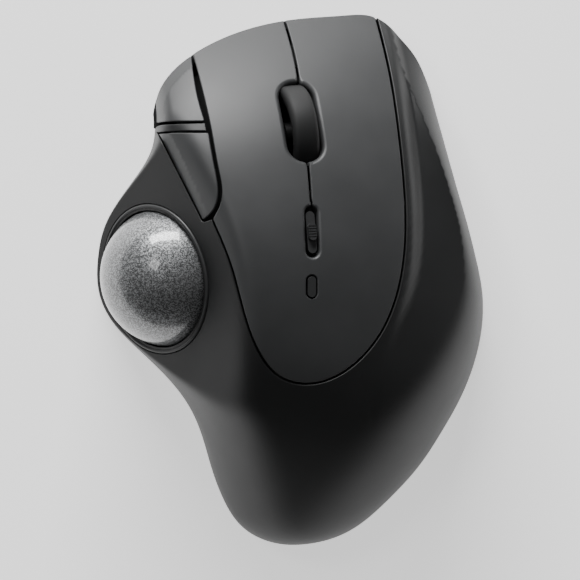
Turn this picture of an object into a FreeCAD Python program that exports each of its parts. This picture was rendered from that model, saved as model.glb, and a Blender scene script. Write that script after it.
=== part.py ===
"""Thumb-operated trackball mouse, modelled as the separate pieces that a bench strip-down gives.

Frame: millimetres, +Z up, +Y the way the cursor buttons point, +X to the right of the hand.
The origin is the middle of the object's box at desk level.
The casing's top is one free-form skin. It is worked out in top_height() from a few running lines:
the outline at each station along the body, the crest, the thumb slope over the ball and the
stepped wing at the right. Every outer piece is cut from that skin, so they all meet flush.
"""
import FreeCAD, Part
import math
import os
import Sketcher

VEC = FreeCAD.Vector
ROT = FreeCAD.Rotation
DOC = FreeCAD.newDocument("trackball_mouse")

# --------------------------------------------------------------------------------------
# Driving dimensions, in millimetres and degrees
# --------------------------------------------------------------------------------------
DIMENSIONS = {
    # casing
    "parting_height": 5.0, "brim_height": 6.0, "wall": 2.0, "base_bottom": 0.8,
    "base_floor": 1.8, "plate_thick": 2.2, "plate_gap": 0.5,
    "press_room": 2.0, "support_thick": 1.4,
    # ball and its socket
    "ball_radius": 18.0, "ball_x": -30.3, "ball_y": 1.2, "ball_height": 24.0,
    "socket_tilt": 46.0, "socket_turn": 12.0, "socket_rise": 5.5, "cup_gap": 0.45,
    "cup_thick": 1.3, "eject_radius": 4.0,
    # ball bearing units
    "ring_radius": 2.5, "ring_bore": 1.06, "ring_width": 2.4, "ring_play": 0.12,
    "pin_radius": 1.0, "pin_length": 10.0, "carrier_length": 9.0, "carrier_width": 8.0,
    "carrier_height": 3.0, "ring_room": 3.4, "ring_window": 5.6, "boss_radius": 1.7,
    "boss_length": 10.4, "notch_width": 3.0, "notch_height": 1.0,
    # scroll wheel
    "wheel_radius": 12.5, "wheel_width": 6.6, "tyre_thick": 2.4, "hub_width": 6.0,
    "hub_web": 2.4, "hub_boss": 3.2, "hub_rim": 1.6, "axle_radius": 1.2, "axle_length": 14.0,
    "wheel_lean": 15.0, "wheel_pitch": 22.0, "wheel_yaw": 6.0, "cradle_room": 0.9, "cradle_side": 1.5,
    "cradle_end": 1.6, "cradle_height": 7.0, "axle_play": 0.06, "trunnion_radius": 1.5,
    "trunnion_length": 3.4, "frame_bar": 1.8, "frame_width": 5.0, "guide_radius": 1.2,
    # switches
    "switch_length": 12.8, "switch_breadth": 5.8, "switch_rise": 6.5, "nub_rise": 0.45,
    "tact_side": 6.0, "tact_rise": 2.4, "tact_nub": 1.4,
    # boards
    "board_thick": 1.2, "board_height": 6.0, "board_width": 44.0, "board_depth": 38.0,
    "side_board_width": 8.0, "side_board_length": 26.0, "upper_board_width": 14.0,
    "upper_board_length": 24.0, "sensor_board_width": 10.0, "sensor_board_length": 14.0,
    # battery
    "battery_radius": 7.2, "battery_length": 49.0, "nub_radius": 2.7, "nub_length": 1.3,
    "door_length": 56.0, "door_width": 18.0, "door_thick": 1.5, "door_gap": 0.25,
    # feet and fasteners
    "pad_thick": 1.0, "pad_recess": 0.2, "pad_length": 16.0, "pad_width": 5.0,
    "screw_radius": 1.0, "screw_head": 1.9, "screw_head_rise": 1.2, "screw_length": 6.0,
    # small controls
    "slider_width": 2.3, "slider_length": 10.6, "grip_width": 2.1, "grip_length": 4.4,
    "slot_width": 3.3, "slot_length": 13.0, "pill_width": 2.1, "pill_length": 5.2,
    "pill_gap": 0.35, "power_width": 4.0, "power_length": 5.0,
}

SHEET = DOC.addObject("Spreadsheet::Sheet", "dims")
for row, (alias, value) in enumerate(DIMENSIONS.items(), start=1):
    SHEET.set(f"A{row}", alias)
    SHEET.set(f"B{row}", str(value))
    SHEET.setAlias(f"B{row}", alias)
DOC.recompute()


def dim(alias):
    """The value of one cell of the sheet."""
    return float(getattr(SHEET, alias))


# --------------------------------------------------------------------------------------
# Running lines of the casing
# --------------------------------------------------------------------------------------
def smooth_line(knots, start_flat=False):
    """A natural cubic through (t, value) knots; start_flat makes its first slope nil."""
    ts = [k[0] for k in knots]
    vs = [k[1] for k in knots]
    n = len(ts)
    lower, diag, upper, rhs = [0.0] * n, [2.0] * n, [0.0] * n, [0.0] * n
    if start_flat:
        upper[0] = 1.0
        rhs[0] = 6.0 * (vs[1] - vs[0]) / (ts[1] - ts[0]) ** 2
    for i in range(1, n - 1):
        before, after = ts[i] - ts[i - 1], ts[i + 1] - ts[i]
        lower[i] = before / (before + after)
        upper[i] = 1.0 - lower[i]
        bend = (vs[i + 1] - vs[i]) / after - (vs[i] - vs[i - 1]) / before
        rhs[i] = 6.0 * bend / (before + after)
    for i in range(1, n):
        share = lower[i] / diag[i - 1]
        diag[i] -= share * upper[i - 1]
        rhs[i] -= share * rhs[i - 1]
    curve = [0.0] * n
    curve[-1] = rhs[-1] / diag[-1]
    for i in range(n - 2, -1, -1):
        curve[i] = (rhs[i] - upper[i] * curve[i + 1]) / diag[i]

    def value(t):
        t = min(max(t, ts[0]), ts[-1])
        i = 0
        while i < n - 2 and t > ts[i + 1]:
            i += 1
        gap = ts[i + 1] - ts[i]
        a, b = (ts[i + 1] - t) / gap, (t - ts[i]) / gap
        swell = ((a**3 - a) * curve[i] + (b**3 - b) * curve[i + 1]) * gap * gap / 6.0
        return a * vs[i] + b * vs[i + 1] + swell

    return value


# Stations from the tail to past the front: how far along, left edge, right edge.
STATIONS = [
    (-68.0, 0.5, 0.5), (-66.5, -7.3, 10.5), (-62.4, -13.3, 18.5), (-56.0, -17.3, 25.7),
    (-48.0, -20.3, 33.0), (-39.0, -23.0, 39.0), (-30.0, -27.5, 44.0), (-21.0, -35.5, 47.5),
    (-12.0, -44.6, 49.4), (-3.0, -49.1, 49.5), (6.0, -49.3, 47.8), (15.0, -47.1, 45.5),
    (24.0, -41.4, 42.9), (33.0, -35.8, 40.4), (42.0, -34.8, 37.9), (51.0, -36.0, 35.6),
    (60.0, -38.0, 34.0), (72.0, -40.0, 32.0),
]
station_along = smooth_line([(i, s[0]) for i, s in enumerate(STATIONS)], start_flat=True)
station_left = smooth_line([(i, s[1]) for i, s in enumerate(STATIONS)])
station_right = smooth_line([(i, s[2]) for i, s in enumerate(STATIONS)])

# The cut across the front, from the left flank round the buttons to the right flank.
FRONT_LINE = [
    (-35.3, 37.5), (-34.9, 42.0), (-33.9, 46.5), (-30.6, 52.2), (-23.5, 58.2), (-12.3, 63.6), (2.0, 66.9),
    (14.0, 68.0), (20.5, 68.0), (24.2, 66.3), (28.0, 62.6), (32.0, 57.8), (34.6, 52.6),
    (36.9, 46.5),
]

crest_height = smooth_line([(-68, 20), (-50, 33), (-30, 44), (-10, 49.8), (8, 51.2),
                            (25, 48), (42, 40.5), (56, 30.5), (72, 16)])
crest_across = smooth_line([(-68, 3), (-40, -3), (-20, -12), (0, -18), (72, -20)])
fall_right = smooth_line([(-68, 0.0062), (20, 0.0058), (45, 0.0052), (72, 0.0036)])
round_left = smooth_line([(-68, 22), (-34, 21), (-22, 12), (-10, 4), (20, 4), (72, 4)])
round_right = smooth_line([(-68, 26), (-38, 26), (-20, 15), (-6, 7), (8, 3.4), (20, 2.6),
                           (35, 3.4), (59, 6.8), (72, 8)])
wing_step = smooth_line([(-40, 0), (-22, 0), (-8, 0.9), (6, 2.4), (25, 3.5), (45, 3.8), (72, 3.8)])
plate_right = smooth_line([(-30, 18), (-12, 23.5), (-3, 26.8), (4, 28.3), (12, 28.9),
                           (25, 28.5), (39, 27.1), (51, 25.5), (60, 23.8), (72, 20.6)])
CREST_BLEND = 5.0
FALL_LEFT = 0.025
LIP_WIDTH = 1.3
STEP_WIDTH = 4.0
WING_LIFT = 0.4
RIDGE_CUT = 0.08


def shoulder(t):
    """From nil at the outline, where it is upright, to 1 where the flank meets the top."""
    t = min(max(t, 0.0), 1.0)
    return math.sqrt(1.0 - (1.0 - t) ** 3)


def ease(t):
    """A smooth rise from 0 to 1."""
    t = min(max(t, 0.0), 1.0)
    return t * t * t * (t * (6.0 * t - 15.0) + 10.0)


def soft_min(a, b, blend):
    """The lower of two heights, with the corner between them rounded over."""
    near = max(blend - abs(a - b), 0.0) / blend
    return min(a, b) - near**3 * blend / 6.0


def socket_normal():
    """The way that the ball's opening faces: up, and out to the thumb."""
    tilt, turn = math.radians(dim("socket_tilt")), math.radians(dim("socket_turn"))
    return VEC(-math.sin(tilt) * math.cos(turn), -math.sin(tilt) * math.sin(turn),
               math.cos(tilt))


NORMAL = socket_normal()
BALL = VEC(dim("ball_x"), dim("ball_y"), dim("ball_height"))


def top_height(x, along, left, right):
    """Height of the casing's skin at a point between the left and right edges there."""
    crest, across = crest_height(along), crest_across(along)
    fall = fall_right(along) if x > across else FALL_LEFT
    height = crest - fall * (x - across) ** 2
    foot = plate_right(along) + LIP_WIDTH
    height -= wing_step(along) * ease((x - foot) / STEP_WIDTH)
    wing = min(max((x - foot) / max(right - round_right(along) - foot, 1.0), 0.0), 1.0)
    height += WING_LIFT * wing_step(along) * wing**2
    ridge = 1.0 - RIDGE_CUT * wing_step(along)
    fall_off = shoulder(ridge * min((right - x) / round_right(along), 1.0)) / shoulder(ridge)
    brim = dim("brim_height")
    height = brim + (max(height, brim + 1.0) - brim) * (
        shoulder((x - left) / round_left(along)) * fall_off)
    slope = (dim("socket_rise") - NORMAL.x * (x - BALL.x) - NORMAL.y * (along - BALL.y)) / NORMAL.z
    return max(soft_min(height, BALL.z + slope, CREST_BLEND), brim)


# --------------------------------------------------------------------------------------
# Solids that the outer pieces are cut from
# --------------------------------------------------------------------------------------
ROWS = 34
COLUMNS = 40
TAIL_START = 0.12
TAIL_START_INSIDE = 1.15
UPRIGHT = VEC(0, 0, 1)


def even_curve(points):
    """A cubic spline through points at evenly spaced parameters."""
    curve = Part.BSplineCurve()
    steps = len(points) - 1
    curve.interpolate(points, Parameters=[i / steps for i in range(steps + 1)])
    return curve


def woven_surface(grid):
    """A bicubic spline surface through a grid: splined along each line, then across the lines."""
    lines = [even_curve(line) for line in grid]
    across = [even_curve(list(column)) for column in zip(*[c.getPoles() for c in lines])]
    poles = [list(row) for row in zip(*[c.getPoles() for c in across])]
    surface = Part.BSplineSurface()
    surface.buildFromPolesMultsKnots(
        poles, across[0].getMultiplicities(), lines[0].getMultiplicities(),
        across[0].getKnots(), lines[0].getKnots(), False, False, 3, 3)
    return surface


def skin_face(inset):
    """The skin as one spline face, moved in and down by inset."""
    grid = []
    last = len(STATIONS) - 1
    start = TAIL_START_INSIDE if inset else TAIL_START
    for i in range(ROWS + 1):
        station = start + (last - start) * i / ROWS
        along = station_along(station)
        left, right = station_left(station), station_right(station)
        line = []
        for j in range(COLUMNS + 1):
            share = (1.0 - math.cos(math.pi * j / COLUMNS)) / 2.0
            x = left + (right - left) * share
            height = top_height(x, along, left, right)
            squeeze = (right - left - 2.0 * inset) / (right - left)
            middle = (left + right) / 2.0
            line.append(VEC(middle + (x - middle) * squeeze, along, height - inset))
        grid.append(line)
    return woven_surface(grid).toShape()


def spline_wire(points, closed=False):
    """One smooth curve through plan points."""
    curve = Part.BSplineCurve()
    curve.interpolate([VEC(x, y, 0) for x, y in points], PeriodicFlag=closed)
    return curve.toShape()


def prism(wire, low, high):
    """An upright solid over a closed plan wire."""
    face = Part.Face(wire)
    face.translate(VEC(0, 0, low))
    return face.extrude(VEC(0, 0, high - low))


def moved_along_normals(points, distance):
    """Plan points moved to their right-hand side, which is inwards on the front line."""
    out = []
    for i, (x, y) in enumerate(points):
        before, after = points[max(i - 1, 0)], points[min(i + 1, len(points) - 1)]
        dx, dy = after[0] - before[0], after[1] - before[1]
        size = math.hypot(dx, dy)
        out.append((x + distance * dy / size, y - distance * dx / size))
    return out


FAR = 90.0


def front_block(inset):
    """Everything behind the front line."""
    line = moved_along_normals(FRONT_LINE, inset)
    edge = spline_wire(line)
    corners = [line[-1], (FAR, line[-1][1]), (FAR, -FAR), (-FAR, -FAR), (-FAR, line[0][1]),
               line[0]]
    sides = [Part.LineSegment(VEC(*a, 0), VEC(*b, 0)).toShape()
             for a, b in zip(corners, corners[1:])]
    return prism(Part.Wire([edge] + sides), 0, FAR)


def hull(inset, low):
    """The casing as one full solid from a level up to its skin."""
    under = skin_face(inset).extrude(VEC(0, 0, -FAR))
    slab = Part.makeBox(2 * FAR, 2 * FAR, FAR, VEC(-FAR, -FAR, low))
    return under.common(slab).common(front_block(inset)).Solids[0]


def lowered(shape, drop):
    """A copy of a shape, moved down."""
    copy = shape.copy()
    copy.translate(VEC(0, 0, -drop))
    return copy


def stadium(centre, length, width, turn):
    """A closed plan wire with two straight sides and two round ends, turned about Z."""
    half, radius = (length - width) / 2.0, width / 2.0
    edges = [
        Part.LineSegment(VEC(radius, -half, 0), VEC(radius, half, 0)),
        Part.Arc(VEC(radius, half, 0), VEC(0, half + radius, 0), VEC(-radius, half, 0)),
        Part.LineSegment(VEC(-radius, half, 0), VEC(-radius, -half, 0)),
        Part.Arc(VEC(-radius, -half, 0), VEC(0, -half - radius, 0), VEC(radius, -half, 0)),
    ]
    wire = Part.Wire([e.toShape() for e in edges])
    wire.Placement = FreeCAD.Placement(VEC(*centre, 0), ROT(UPRIGHT, turn))
    return wire


# Plan outlines of the cover plate and of what is let into it.
PLATE_LEFT_FRONT = [(-29.0, 72.0), (-24.4, 56.6), (-21.6, 46.1), (-19.6, 37.1),
                    (-17.9, 28.0), (-17.2, 20.0), (-19.4, 15.4)]
PLATE_BODY = [(-19.4, 15.4), (-14.7, 4.0), (-11.6, -7.1), (-7.1, -18.7), (-2.9, -23.6),
              (4.2, -25.7), (11.2, -24.0), (18.8, -18.2), (23.5, -11.6), (26.8, -3.2),
              (28.7, 8.0), (28.5, 25.3), (27.1, 39.4), (25.5, 50.9), (20.7, 72.0)]
SEAM = [(-4.6, 76.0), (-1.1, 65.3), (1.6, 54.5), (3.4, 40.0), (4.5, 29.8), (5.4, 17.0),
        (5.7, 5.0)]
FORWARD_BUTTON = [(-21.4, 40.0), (-23.3, 46.4), (-24.9, 55.4), (-28.0, 70.0)]
BACK_BUTTON = [(-21.9, 15.0), (-18.9, 18.2), (-18.1, 22.5), (-19.0, 29.0), (-20.4, 37.1)]
WHEEL_PLACE = (2.9, 40.4)
WHEEL_SLOT = {"length": 22.8, "width": 9.2, "turn": -3.0}
SLIDER_PLACE = (5.6, 12.2)
PILL_PLACE = (5.5, -1.6)
FLEX_LINE = 19.6
SPLIT_GAP = 0.3


def straight(a, b):
    """One straight plan edge."""
    return Part.LineSegment(VEC(*a, 0), VEC(*b, 0)).toShape()


def corner_tip(corner, first, second):
    """Where two moved-out stretches turn round their common corner."""
    pull = VEC(first[0] + second[0] - 2 * corner[0], first[1] + second[1] - 2 * corner[1], 0)
    reach = math.hypot(first[0] - corner[0], first[1] - corner[1])
    pull = pull.normalize() * reach
    return corner[0] + pull.x, corner[1] + pull.y


def outline(stretches, grow=0.0):
    """A closed wire of stretches that run anticlockwise, moved outwards by grow."""
    moved = [moved_along_normals(points, grow) for points in stretches]
    edges = []
    for i, points in enumerate(moved):
        edges.append(spline_wire(points) if len(points) > 2 else straight(*points))
        following = moved[(i + 1) % len(moved)]
        end, start = points[-1], following[0]
        if math.dist(end, start) < 1e-6:
            continue
        corner = stretches[i][-1]
        shared = math.dist(corner, stretches[(i + 1) % len(moved)][0]) < 1e-6
        if shared and grow > 0:
            tip = corner_tip(corner, end, start)
            edges += [straight(end, tip), straight(tip, start)]
        else:
            edges.append(straight(end, start))
    return Part.Wire(edges)


def polygon_sides(points):
    """The sides of an open run of straight edges, each as its own stretch."""
    return [[a, b] for a, b in zip(points, points[1:])]


PLATE = [PLATE_LEFT_FRONT, PLATE_BODY]
PLATE_TRIMMED = [PLATE_LEFT_FRONT[:-1], PLATE_BODY[1:]]
FORWARD = [FORWARD_BUTTON] + polygon_sides([(-28.0, 70.0), (-45.0, 70.0), (-45.0, 39.4),
                                            (-21.4, 40.0)])
BACK = [BACK_BUTTON] + polygon_sides([(-20.4, 37.1), (-33.2, 37.1), (-21.9, 15.0)])


def edges_at(along):
    """The left and right edges of the casing at a distance along it."""
    low, high = 0.0, float(len(STATIONS) - 1)
    for _ in range(40):
        middle = (low + high) / 2.0
        if station_along(middle) < along:
            low = middle
        else:
            high = middle
    return station_left(low), station_right(low)


def skin_height(x, y):
    """Height of the skin over a plan point."""
    return top_height(x, y, *edges_at(y))


def skin_seat(x, y, turn=0.0):
    """A placement on the skin: its Z leaves the skin squarely, its Y runs forward."""
    step = 1.0
    slope_x = (skin_height(x + step, y) - skin_height(x - step, y)) / (2 * step)
    slope_y = (skin_height(x, y + step) - skin_height(x, y - step)) / (2 * step)
    up = VEC(-slope_x, -slope_y, 1.0).normalize()
    forward = VEC(-math.sin(math.radians(turn)), math.cos(math.radians(turn)), 0)
    side = forward.cross(up).normalize()
    return FreeCAD.Placement(VEC(x, y, skin_height(x, y)), ROT(side, VEC(), up, "ZXY"))


def placed(shape, placement):
    """A shape made about the origin, carried to its place."""
    copy = shape.copy()
    copy.Placement = placement.multiply(copy.Placement)
    return copy


def stadium_bar(length, width, low, high, turn=0.0):
    """An upright bar with round ends, made about the origin."""
    return prism(stadium((0, 0), length, width, turn), low, high)


WHEEL_TURN = (ROT(UPRIGHT, dim("wheel_yaw")).multiply(ROT(VEC(0, 1, 0), dim("wheel_lean")))
              .multiply(ROT(VEC(1, 0, 0), -dim("wheel_pitch"))))
WHEEL_TOP = FreeCAD.Placement(VEC(*WHEEL_PLACE, skin_height(*WHEEL_PLACE)), WHEEL_TURN)
WHEEL_SINK = 8.6
SLIDER_SEAT = skin_seat(*SLIDER_PLACE, 2.0)
PILL_SEAT = skin_seat(*PILL_PLACE)
CUT_DEPTH = 12.0


def wheel_opening(grow=0.0):
    """A cutter for the slot that the wheel stands in, square to the wheel."""
    return placed(stadium_bar(WHEEL_SLOT["length"] + 2 * grow, WHEEL_SLOT["width"] + 2 * grow,
                              -CUT_DEPTH, CUT_DEPTH, WHEEL_SLOT["turn"]), WHEEL_TOP)


def wheel_room():
    """The space round the wheel under the skin, kept clear for its click and its rock."""
    width = dim("wheel_width") + 2 * dim("cradle_room")
    drum = Part.makeCylinder(dim("wheel_radius") + dim("cradle_room"), width,
                             VEC(-width / 2, 0, -WHEEL_SINK), VEC(1, 0, 0))
    return placed(drum, WHEEL_TOP)


def slider_opening():
    """A cutter for the mode slider's slot."""
    return placed(stadium_bar(dim("slot_length"), dim("slot_width"), -CUT_DEPTH, CUT_DEPTH),
                  SLIDER_SEAT)


def pill_opening():
    """A cutter for the pill button's hole."""
    room = 2 * dim("pill_gap")
    return placed(stadium_bar(dim("pill_length") + room, dim("pill_width") + room,
                              -CUT_DEPTH, CUT_DEPTH), PILL_SEAT)


SUBPARTS = []


def keep(obj, label):
    """Notes a finished sub-part. Its label names its file."""
    obj.Label = label
    SUBPARTS.append(obj)
    return obj


def free_form(label, shape):
    """A sub-part whose shape comes from the skin, or from cuts that no primitive gives."""
    obj = DOC.addObject("Part::Feature", label)
    obj.Shape = shape
    obj.Placement = shape.Placement
    return keep(obj, label)


# --------------------------------------------------------------------------------------
# Makers of plain pieces, bound to the sheet
# --------------------------------------------------------------------------------------
def bind(obj, sizes):
    """Ties properties of an object to cells of the sheet."""
    for prop, expression in sizes.items():
        obj.setExpression(prop, expression)
    return obj


def block(name, sizes, corner):
    """A box whose three sizes are expressions, with its low corner placed."""
    obj = DOC.addObject("Part::Box", name)
    bind(obj, dict(zip(("Length", "Width", "Height"), sizes)))
    obj.Placement = FreeCAD.Placement(VEC(*corner), ROT())
    return obj


def rod(name, radius, length, base, axis=UPRIGHT):
    """A cylinder whose radius and length are expressions."""
    obj = DOC.addObject("Part::Cylinder", name)
    bind(obj, {"Radius": radius, "Height": length})
    obj.Placement = FreeCAD.Placement(VEC(*base), ROT(UPRIGHT, axis))
    return obj


def less(name, body, tools):
    """A body with tools cut away."""
    tool = tools[0]
    if len(tools) > 1:
        tool = DOC.addObject("Part::MultiFuse", name + "_tools")
        tool.Shapes = tools
    obj = DOC.addObject("Part::Cut", name + "_cut")
    obj.Base, obj.Tool = body, tool
    return obj


def joined(name, bodies):
    """Several solids as one."""
    obj = DOC.addObject("Part::MultiFuse", name + "_sum")
    obj.Shapes = bodies
    return obj


def origin_plane(body, role):
    """One of a body's own origin planes."""
    return next(f for f in body.Origin.OriginFeatures if f.Role == role)


def bound_polygon(body, name, role, corners):
    """A closed sketch polygon whose corners are pairs of expressions; "0" lies on an axis."""
    sketch = body.newObject("Sketcher::SketchObject", name)
    sketch.AttachmentSupport = [(origin_plane(body, role), "")]
    sketch.MapMode = "FlatFace"
    values = [[evaluate(c) for c in corner] for corner in corners]
    count = len(values)
    for i, (x, y) in enumerate(values):
        nx, ny = values[(i + 1) % count]
        sketch.addGeometry(Part.LineSegment(VEC(x, y, 0), VEC(nx, ny, 0)), False)
    for i in range(count):
        sketch.addConstraint(Sketcher.Constraint("Coincident", i, 2, (i + 1) % count, 1))
    for i, corner in enumerate(corners):
        for kind, axis, text, value in (("DistanceX", -2, corner[0], values[i][0]),
                                        ("DistanceY", -1, corner[1], values[i][1])):
            if text == "0":
                sketch.addConstraint(Sketcher.Constraint("PointOnObject", i, 1, axis))
                continue
            made = sketch.addConstraint(Sketcher.Constraint(kind, -1, 1, i, 1, value))
            sketch.setExpression(f"Constraints[{made}]", text)
    return sketch


def evaluate(expression):
    """An expression on the sheet's cells, worked out as a number, for a sketch's first shape."""
    total = 0.0
    for term in expression.replace("-", "+-").split("+"):
        if not term.strip():
            continue
        product = 1.0
        for factor in term.strip().split("*"):
            factor = factor.strip()
            if factor.startswith("-"):
                product, factor = -product, factor[1:].strip()
            product *= dim(factor[5:]) if factor.startswith("dims.") else float(factor)
        total += product
    return total


def turned(label, profile, base, axis=UPRIGHT, sub=False):
    """A piece of revolution: profile corners are (radius, height) expressions."""
    body = DOC.addObject("PartDesign::Body", label + "_body")
    sketch = bound_polygon(body, label + "_profile", "XZ_Plane", profile)
    spin = body.newObject("PartDesign::Revolution", label + "_turn")
    spin.Profile = sketch
    spin.ReferenceAxis = (sketch, ["V_Axis"])
    spin.Angle = 360.0
    body.Placement = FreeCAD.Placement(VEC(*base), ROT(UPRIGHT, axis))
    return body if sub else keep(body, label)


def slab(label, width, depth, thick, centre, turn=ROT(), sub=False):
    """A rectangular plate padded up from its centre of area."""
    body = DOC.addObject("PartDesign::Body", label + "_body")
    sketch = bound_polygon(body, label + "_outline", "XY_Plane",
                           [("0", "0"), (width, "0"), (width, depth), ("0", depth)])
    pad = body.newObject("PartDesign::Pad", label + "_pad")
    pad.Profile = sketch
    pad.setExpression("Length", thick)
    corner = turn.multVec(VEC(-evaluate(width) / 2, -evaluate(depth) / 2, 0))
    body.Placement = FreeCAD.Placement(VEC(*centre) + corner, turn)
    return body if sub else keep(body, label)


# --------------------------------------------------------------------------------------
# Outer casing
# --------------------------------------------------------------------------------------
OUTER = hull(0.0, dim("parting_height"))
INNER = hull(dim("wall"), dim("parting_height") - 1.0)
PLATE_TOP = lowered(OUTER, dim("plate_thick"))
UNDER_PLATE = lowered(OUTER, dim("plate_thick") + dim("press_room"))
SIDE_SKIRT_LOW = 24.0


def through(wire):
    """An upright cutter over a plan wire."""
    return prism(wire, 0, FAR)


def seam_side(sign):
    """Everything to one side of the centre seam."""
    shift = sign * dim("plate_gap") / 2.0
    line = [(x + shift, y) for x, y in SEAM]
    far = sign * FAR
    corners = [line[-1], (line[-1][0], -FAR), (far, -FAR), (far, line[0][1]), line[0]]
    return through(outline([line] + polygon_sides(corners)))


def make_cover():
    """The cover plate: a fixed tongue, and the two cursor buttons that flex from its end."""
    whole = OUTER.common(through(outline(PLATE))).cut(PLATE_TOP)
    whole = whole.cut([wheel_opening(), wheel_room(), slider_opening(), pill_opening()])
    front = Part.makeBox(2 * FAR, FAR, FAR, VEC(-FAR, FLEX_LINE + SPLIT_GAP, 0))
    back = Part.makeBox(2 * FAR, FAR, FAR, VEC(-FAR, FLEX_LINE - FAR, 0))
    ahead = Part.makeBox(2 * FAR, FAR, FAR, VEC(-FAR, SLIDER_PLACE[1], 0))
    back = back.cut(ahead.cut([seam_side(-1), seam_side(1)]))
    return (whole.common(back), whole.common(front).common(seam_side(-1)),
            whole.common(front).common(seam_side(1)))


def make_side_buttons():
    """The forward and back buttons at the thumb side, each with a short skirt."""
    above = Part.makeBox(2 * FAR, 2 * FAR, FAR, VEC(-FAR, -FAR, SIDE_SKIRT_LOW))
    shifted = OUTER.copy()
    shifted.translate(VEC(1.6, -1.4, -dim("plate_thick")))
    forward = OUTER.common(through(outline(FORWARD))).common(above)
    forward = forward.cut(shifted.common(PLATE_TOP))
    back = OUTER.common(through(outline(BACK))).cut(PLATE_TOP)
    return forward, back


def make_main_shell():
    """The one-piece black casing: palm, thumb slope, right wing and front wall."""
    gap, side_gap = dim("plate_gap"), 0.8 * dim("plate_gap")
    shell = OUTER.cut(INNER)
    shell = shell.cut(through(outline(PLATE, gap)).cut(UNDER_PLATE))
    shell = shell.cut(through(outline(BACK, side_gap)))
    above = Part.makeBox(2 * FAR, 2 * FAR, FAR, VEC(-FAR, -FAR, SIDE_SKIRT_LOW - 1.2))
    shell = shell.cut(through(outline(FORWARD, side_gap)).common(above))
    socket = dim("ball_radius") + dim("cup_gap") + dim("cup_thick") + 0.3
    shell = shell.cut(Part.makeSphere(socket, BALL))
    return max(shell.Solids, key=lambda solid: solid.Volume)


def make_support():
    """The layer under the cover plate that carries it and closes the view inside."""
    deep = dim("plate_thick") + dim("press_room")
    layer = lowered(OUTER, deep).cut(lowered(OUTER, deep + dim("support_thick")))
    layer = layer.common(through(outline(PLATE_TRIMMED, -1.5)))
    limit = Part.makeBox(2 * FAR, 100.0, FAR, VEC(-FAR, -40.0, 0))
    layer = layer.common(limit)
    layer = layer.common(hull(dim("wall") + 0.5, dim("parting_height")))
    return layer.cut(wheel_opening(5.0))


tongue, left_button, right_button = make_cover()
forward_button, back_button = make_side_buttons()
main_shell = make_main_shell()
support = make_support()

# --------------------------------------------------------------------------------------
# Small helpers for the inner pieces
# --------------------------------------------------------------------------------------
def box_between(low, high):
    """A plain box from its low corner to its high corner."""
    size = VEC(*high) - VEC(*low)
    return Part.makeBox(size.x, size.y, size.z, VEC(*low))


# --------------------------------------------------------------------------------------
# Ball, socket and the three bearing units under the ball
# --------------------------------------------------------------------------------------
ball = DOC.addObject("Part::Sphere", "ball_shape")
ball.setExpression("Radius", "dims.ball_radius")
ball.Placement = FreeCAD.Placement(BALL, ROT())
keep(ball, "ball")

INTO_CUP = NORMAL * -1.0
LEVEL = VEC(0, 0, 1).cross(INTO_CUP).normalize()
UPHILL = LEVEL.cross(INTO_CUP).normalize()
if UPHILL.z < 0:
    UPHILL = UPHILL * -1.0
UNIT_SPREAD = math.radians(50.0)
UNIT_TURNS = (0.0, 120.0, 240.0)


def unit_placement(turn):
    """Frame of one bearing unit: origin at the ring's centre, X along its pin, Z outwards."""
    angle = math.radians(turn)
    out = (INTO_CUP * math.cos(UNIT_SPREAD)
           + (UPHILL * math.cos(angle) + LEVEL * math.sin(angle)) * math.sin(UNIT_SPREAD))
    reach = dim("ball_radius") + dim("ring_play") + dim("ring_radius")
    pin_way = out.cross(INTO_CUP).normalize()
    return FreeCAD.Placement(BALL + out * reach, ROT(pin_way, VEC(), out, "ZXY"))


UNITS = [unit_placement(turn) for turn in UNIT_TURNS]
CARRIER_LOW = -0.65


def unit_room(clearance):
    """The space that one bearing unit fills, with clearance, about its own origin."""
    half_l = dim("carrier_length") / 2 + clearance
    half_w = dim("carrier_width") / 2 + clearance
    body = box_between((-half_l, -half_w, CARRIER_LOW - clearance), (half_l, half_w, 5.0))
    boss_half = dim("boss_length") / 2 + clearance
    boss = Part.makeCylinder(dim("boss_radius") + clearance, 2 * boss_half,
                             VEC(-boss_half, 0, 0), VEC(1, 0, 0))
    slot = box_between((-boss_half, -dim("boss_radius") - clearance, 0),
                       (boss_half, dim("boss_radius") + clearance, 5.0))
    window = box_between((-dim("ring_room") / 2, -dim("ring_window") / 2, -4.0),
                         (dim("ring_room") / 2, dim("ring_window") / 2, 0.0))
    return body.fuse([boss, slot, window])


POCKET_WALL = 1.1
SEAT_PLAY = 0.12
CUP_FOOT = 8.0


def make_cup():
    """The socket: a bowl with a drain foot, three pockets for the units and a sensor window."""
    inner = dim("ball_radius") + dim("cup_gap")
    outer = inner + dim("cup_thick")
    bowl = Part.makeSphere(outer, BALL)
    half_l = dim("carrier_length") / 2 + POCKET_WALL
    half_w = dim("carrier_width") / 2 + POCKET_WALL
    walls = [placed(box_between((-half_l, -half_w, -3.0), (half_l, half_w, 2.0)), unit)
             for unit in UNITS]
    foot = Part.makeCylinder(CUP_FOOT, 8.0, VEC(BALL.x, BALL.y, dim("base_bottom")
                                                + dim("base_floor")))
    cup = bowl.fuse(walls + [foot]).common(OUTER.fuse(lowered(OUTER, 4.0)))
    cup = cup.cut(Part.makeSphere(inner, BALL))
    cup = cup.cut([placed(unit_room(SEAT_PLAY), unit) for unit in UNITS])
    cup = cup.cut(Part.makeCylinder(dim("eject_radius"), BALL.z, VEC(BALL.x, BALL.y, 0)))
    cup = cup.cut(Part.makeCylinder(CUP_FOOT - 1.4, 2.0, VEC(BALL.x, BALL.y, 0)))
    window = Part.makeCylinder(3.0, 8.0, BALL + INTO_CUP * (inner - 2.0), INTO_CUP)
    return max(cup.cut(window).Solids, key=lambda solid: solid.Volume)


free_form("ball_cup", make_cup())


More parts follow.
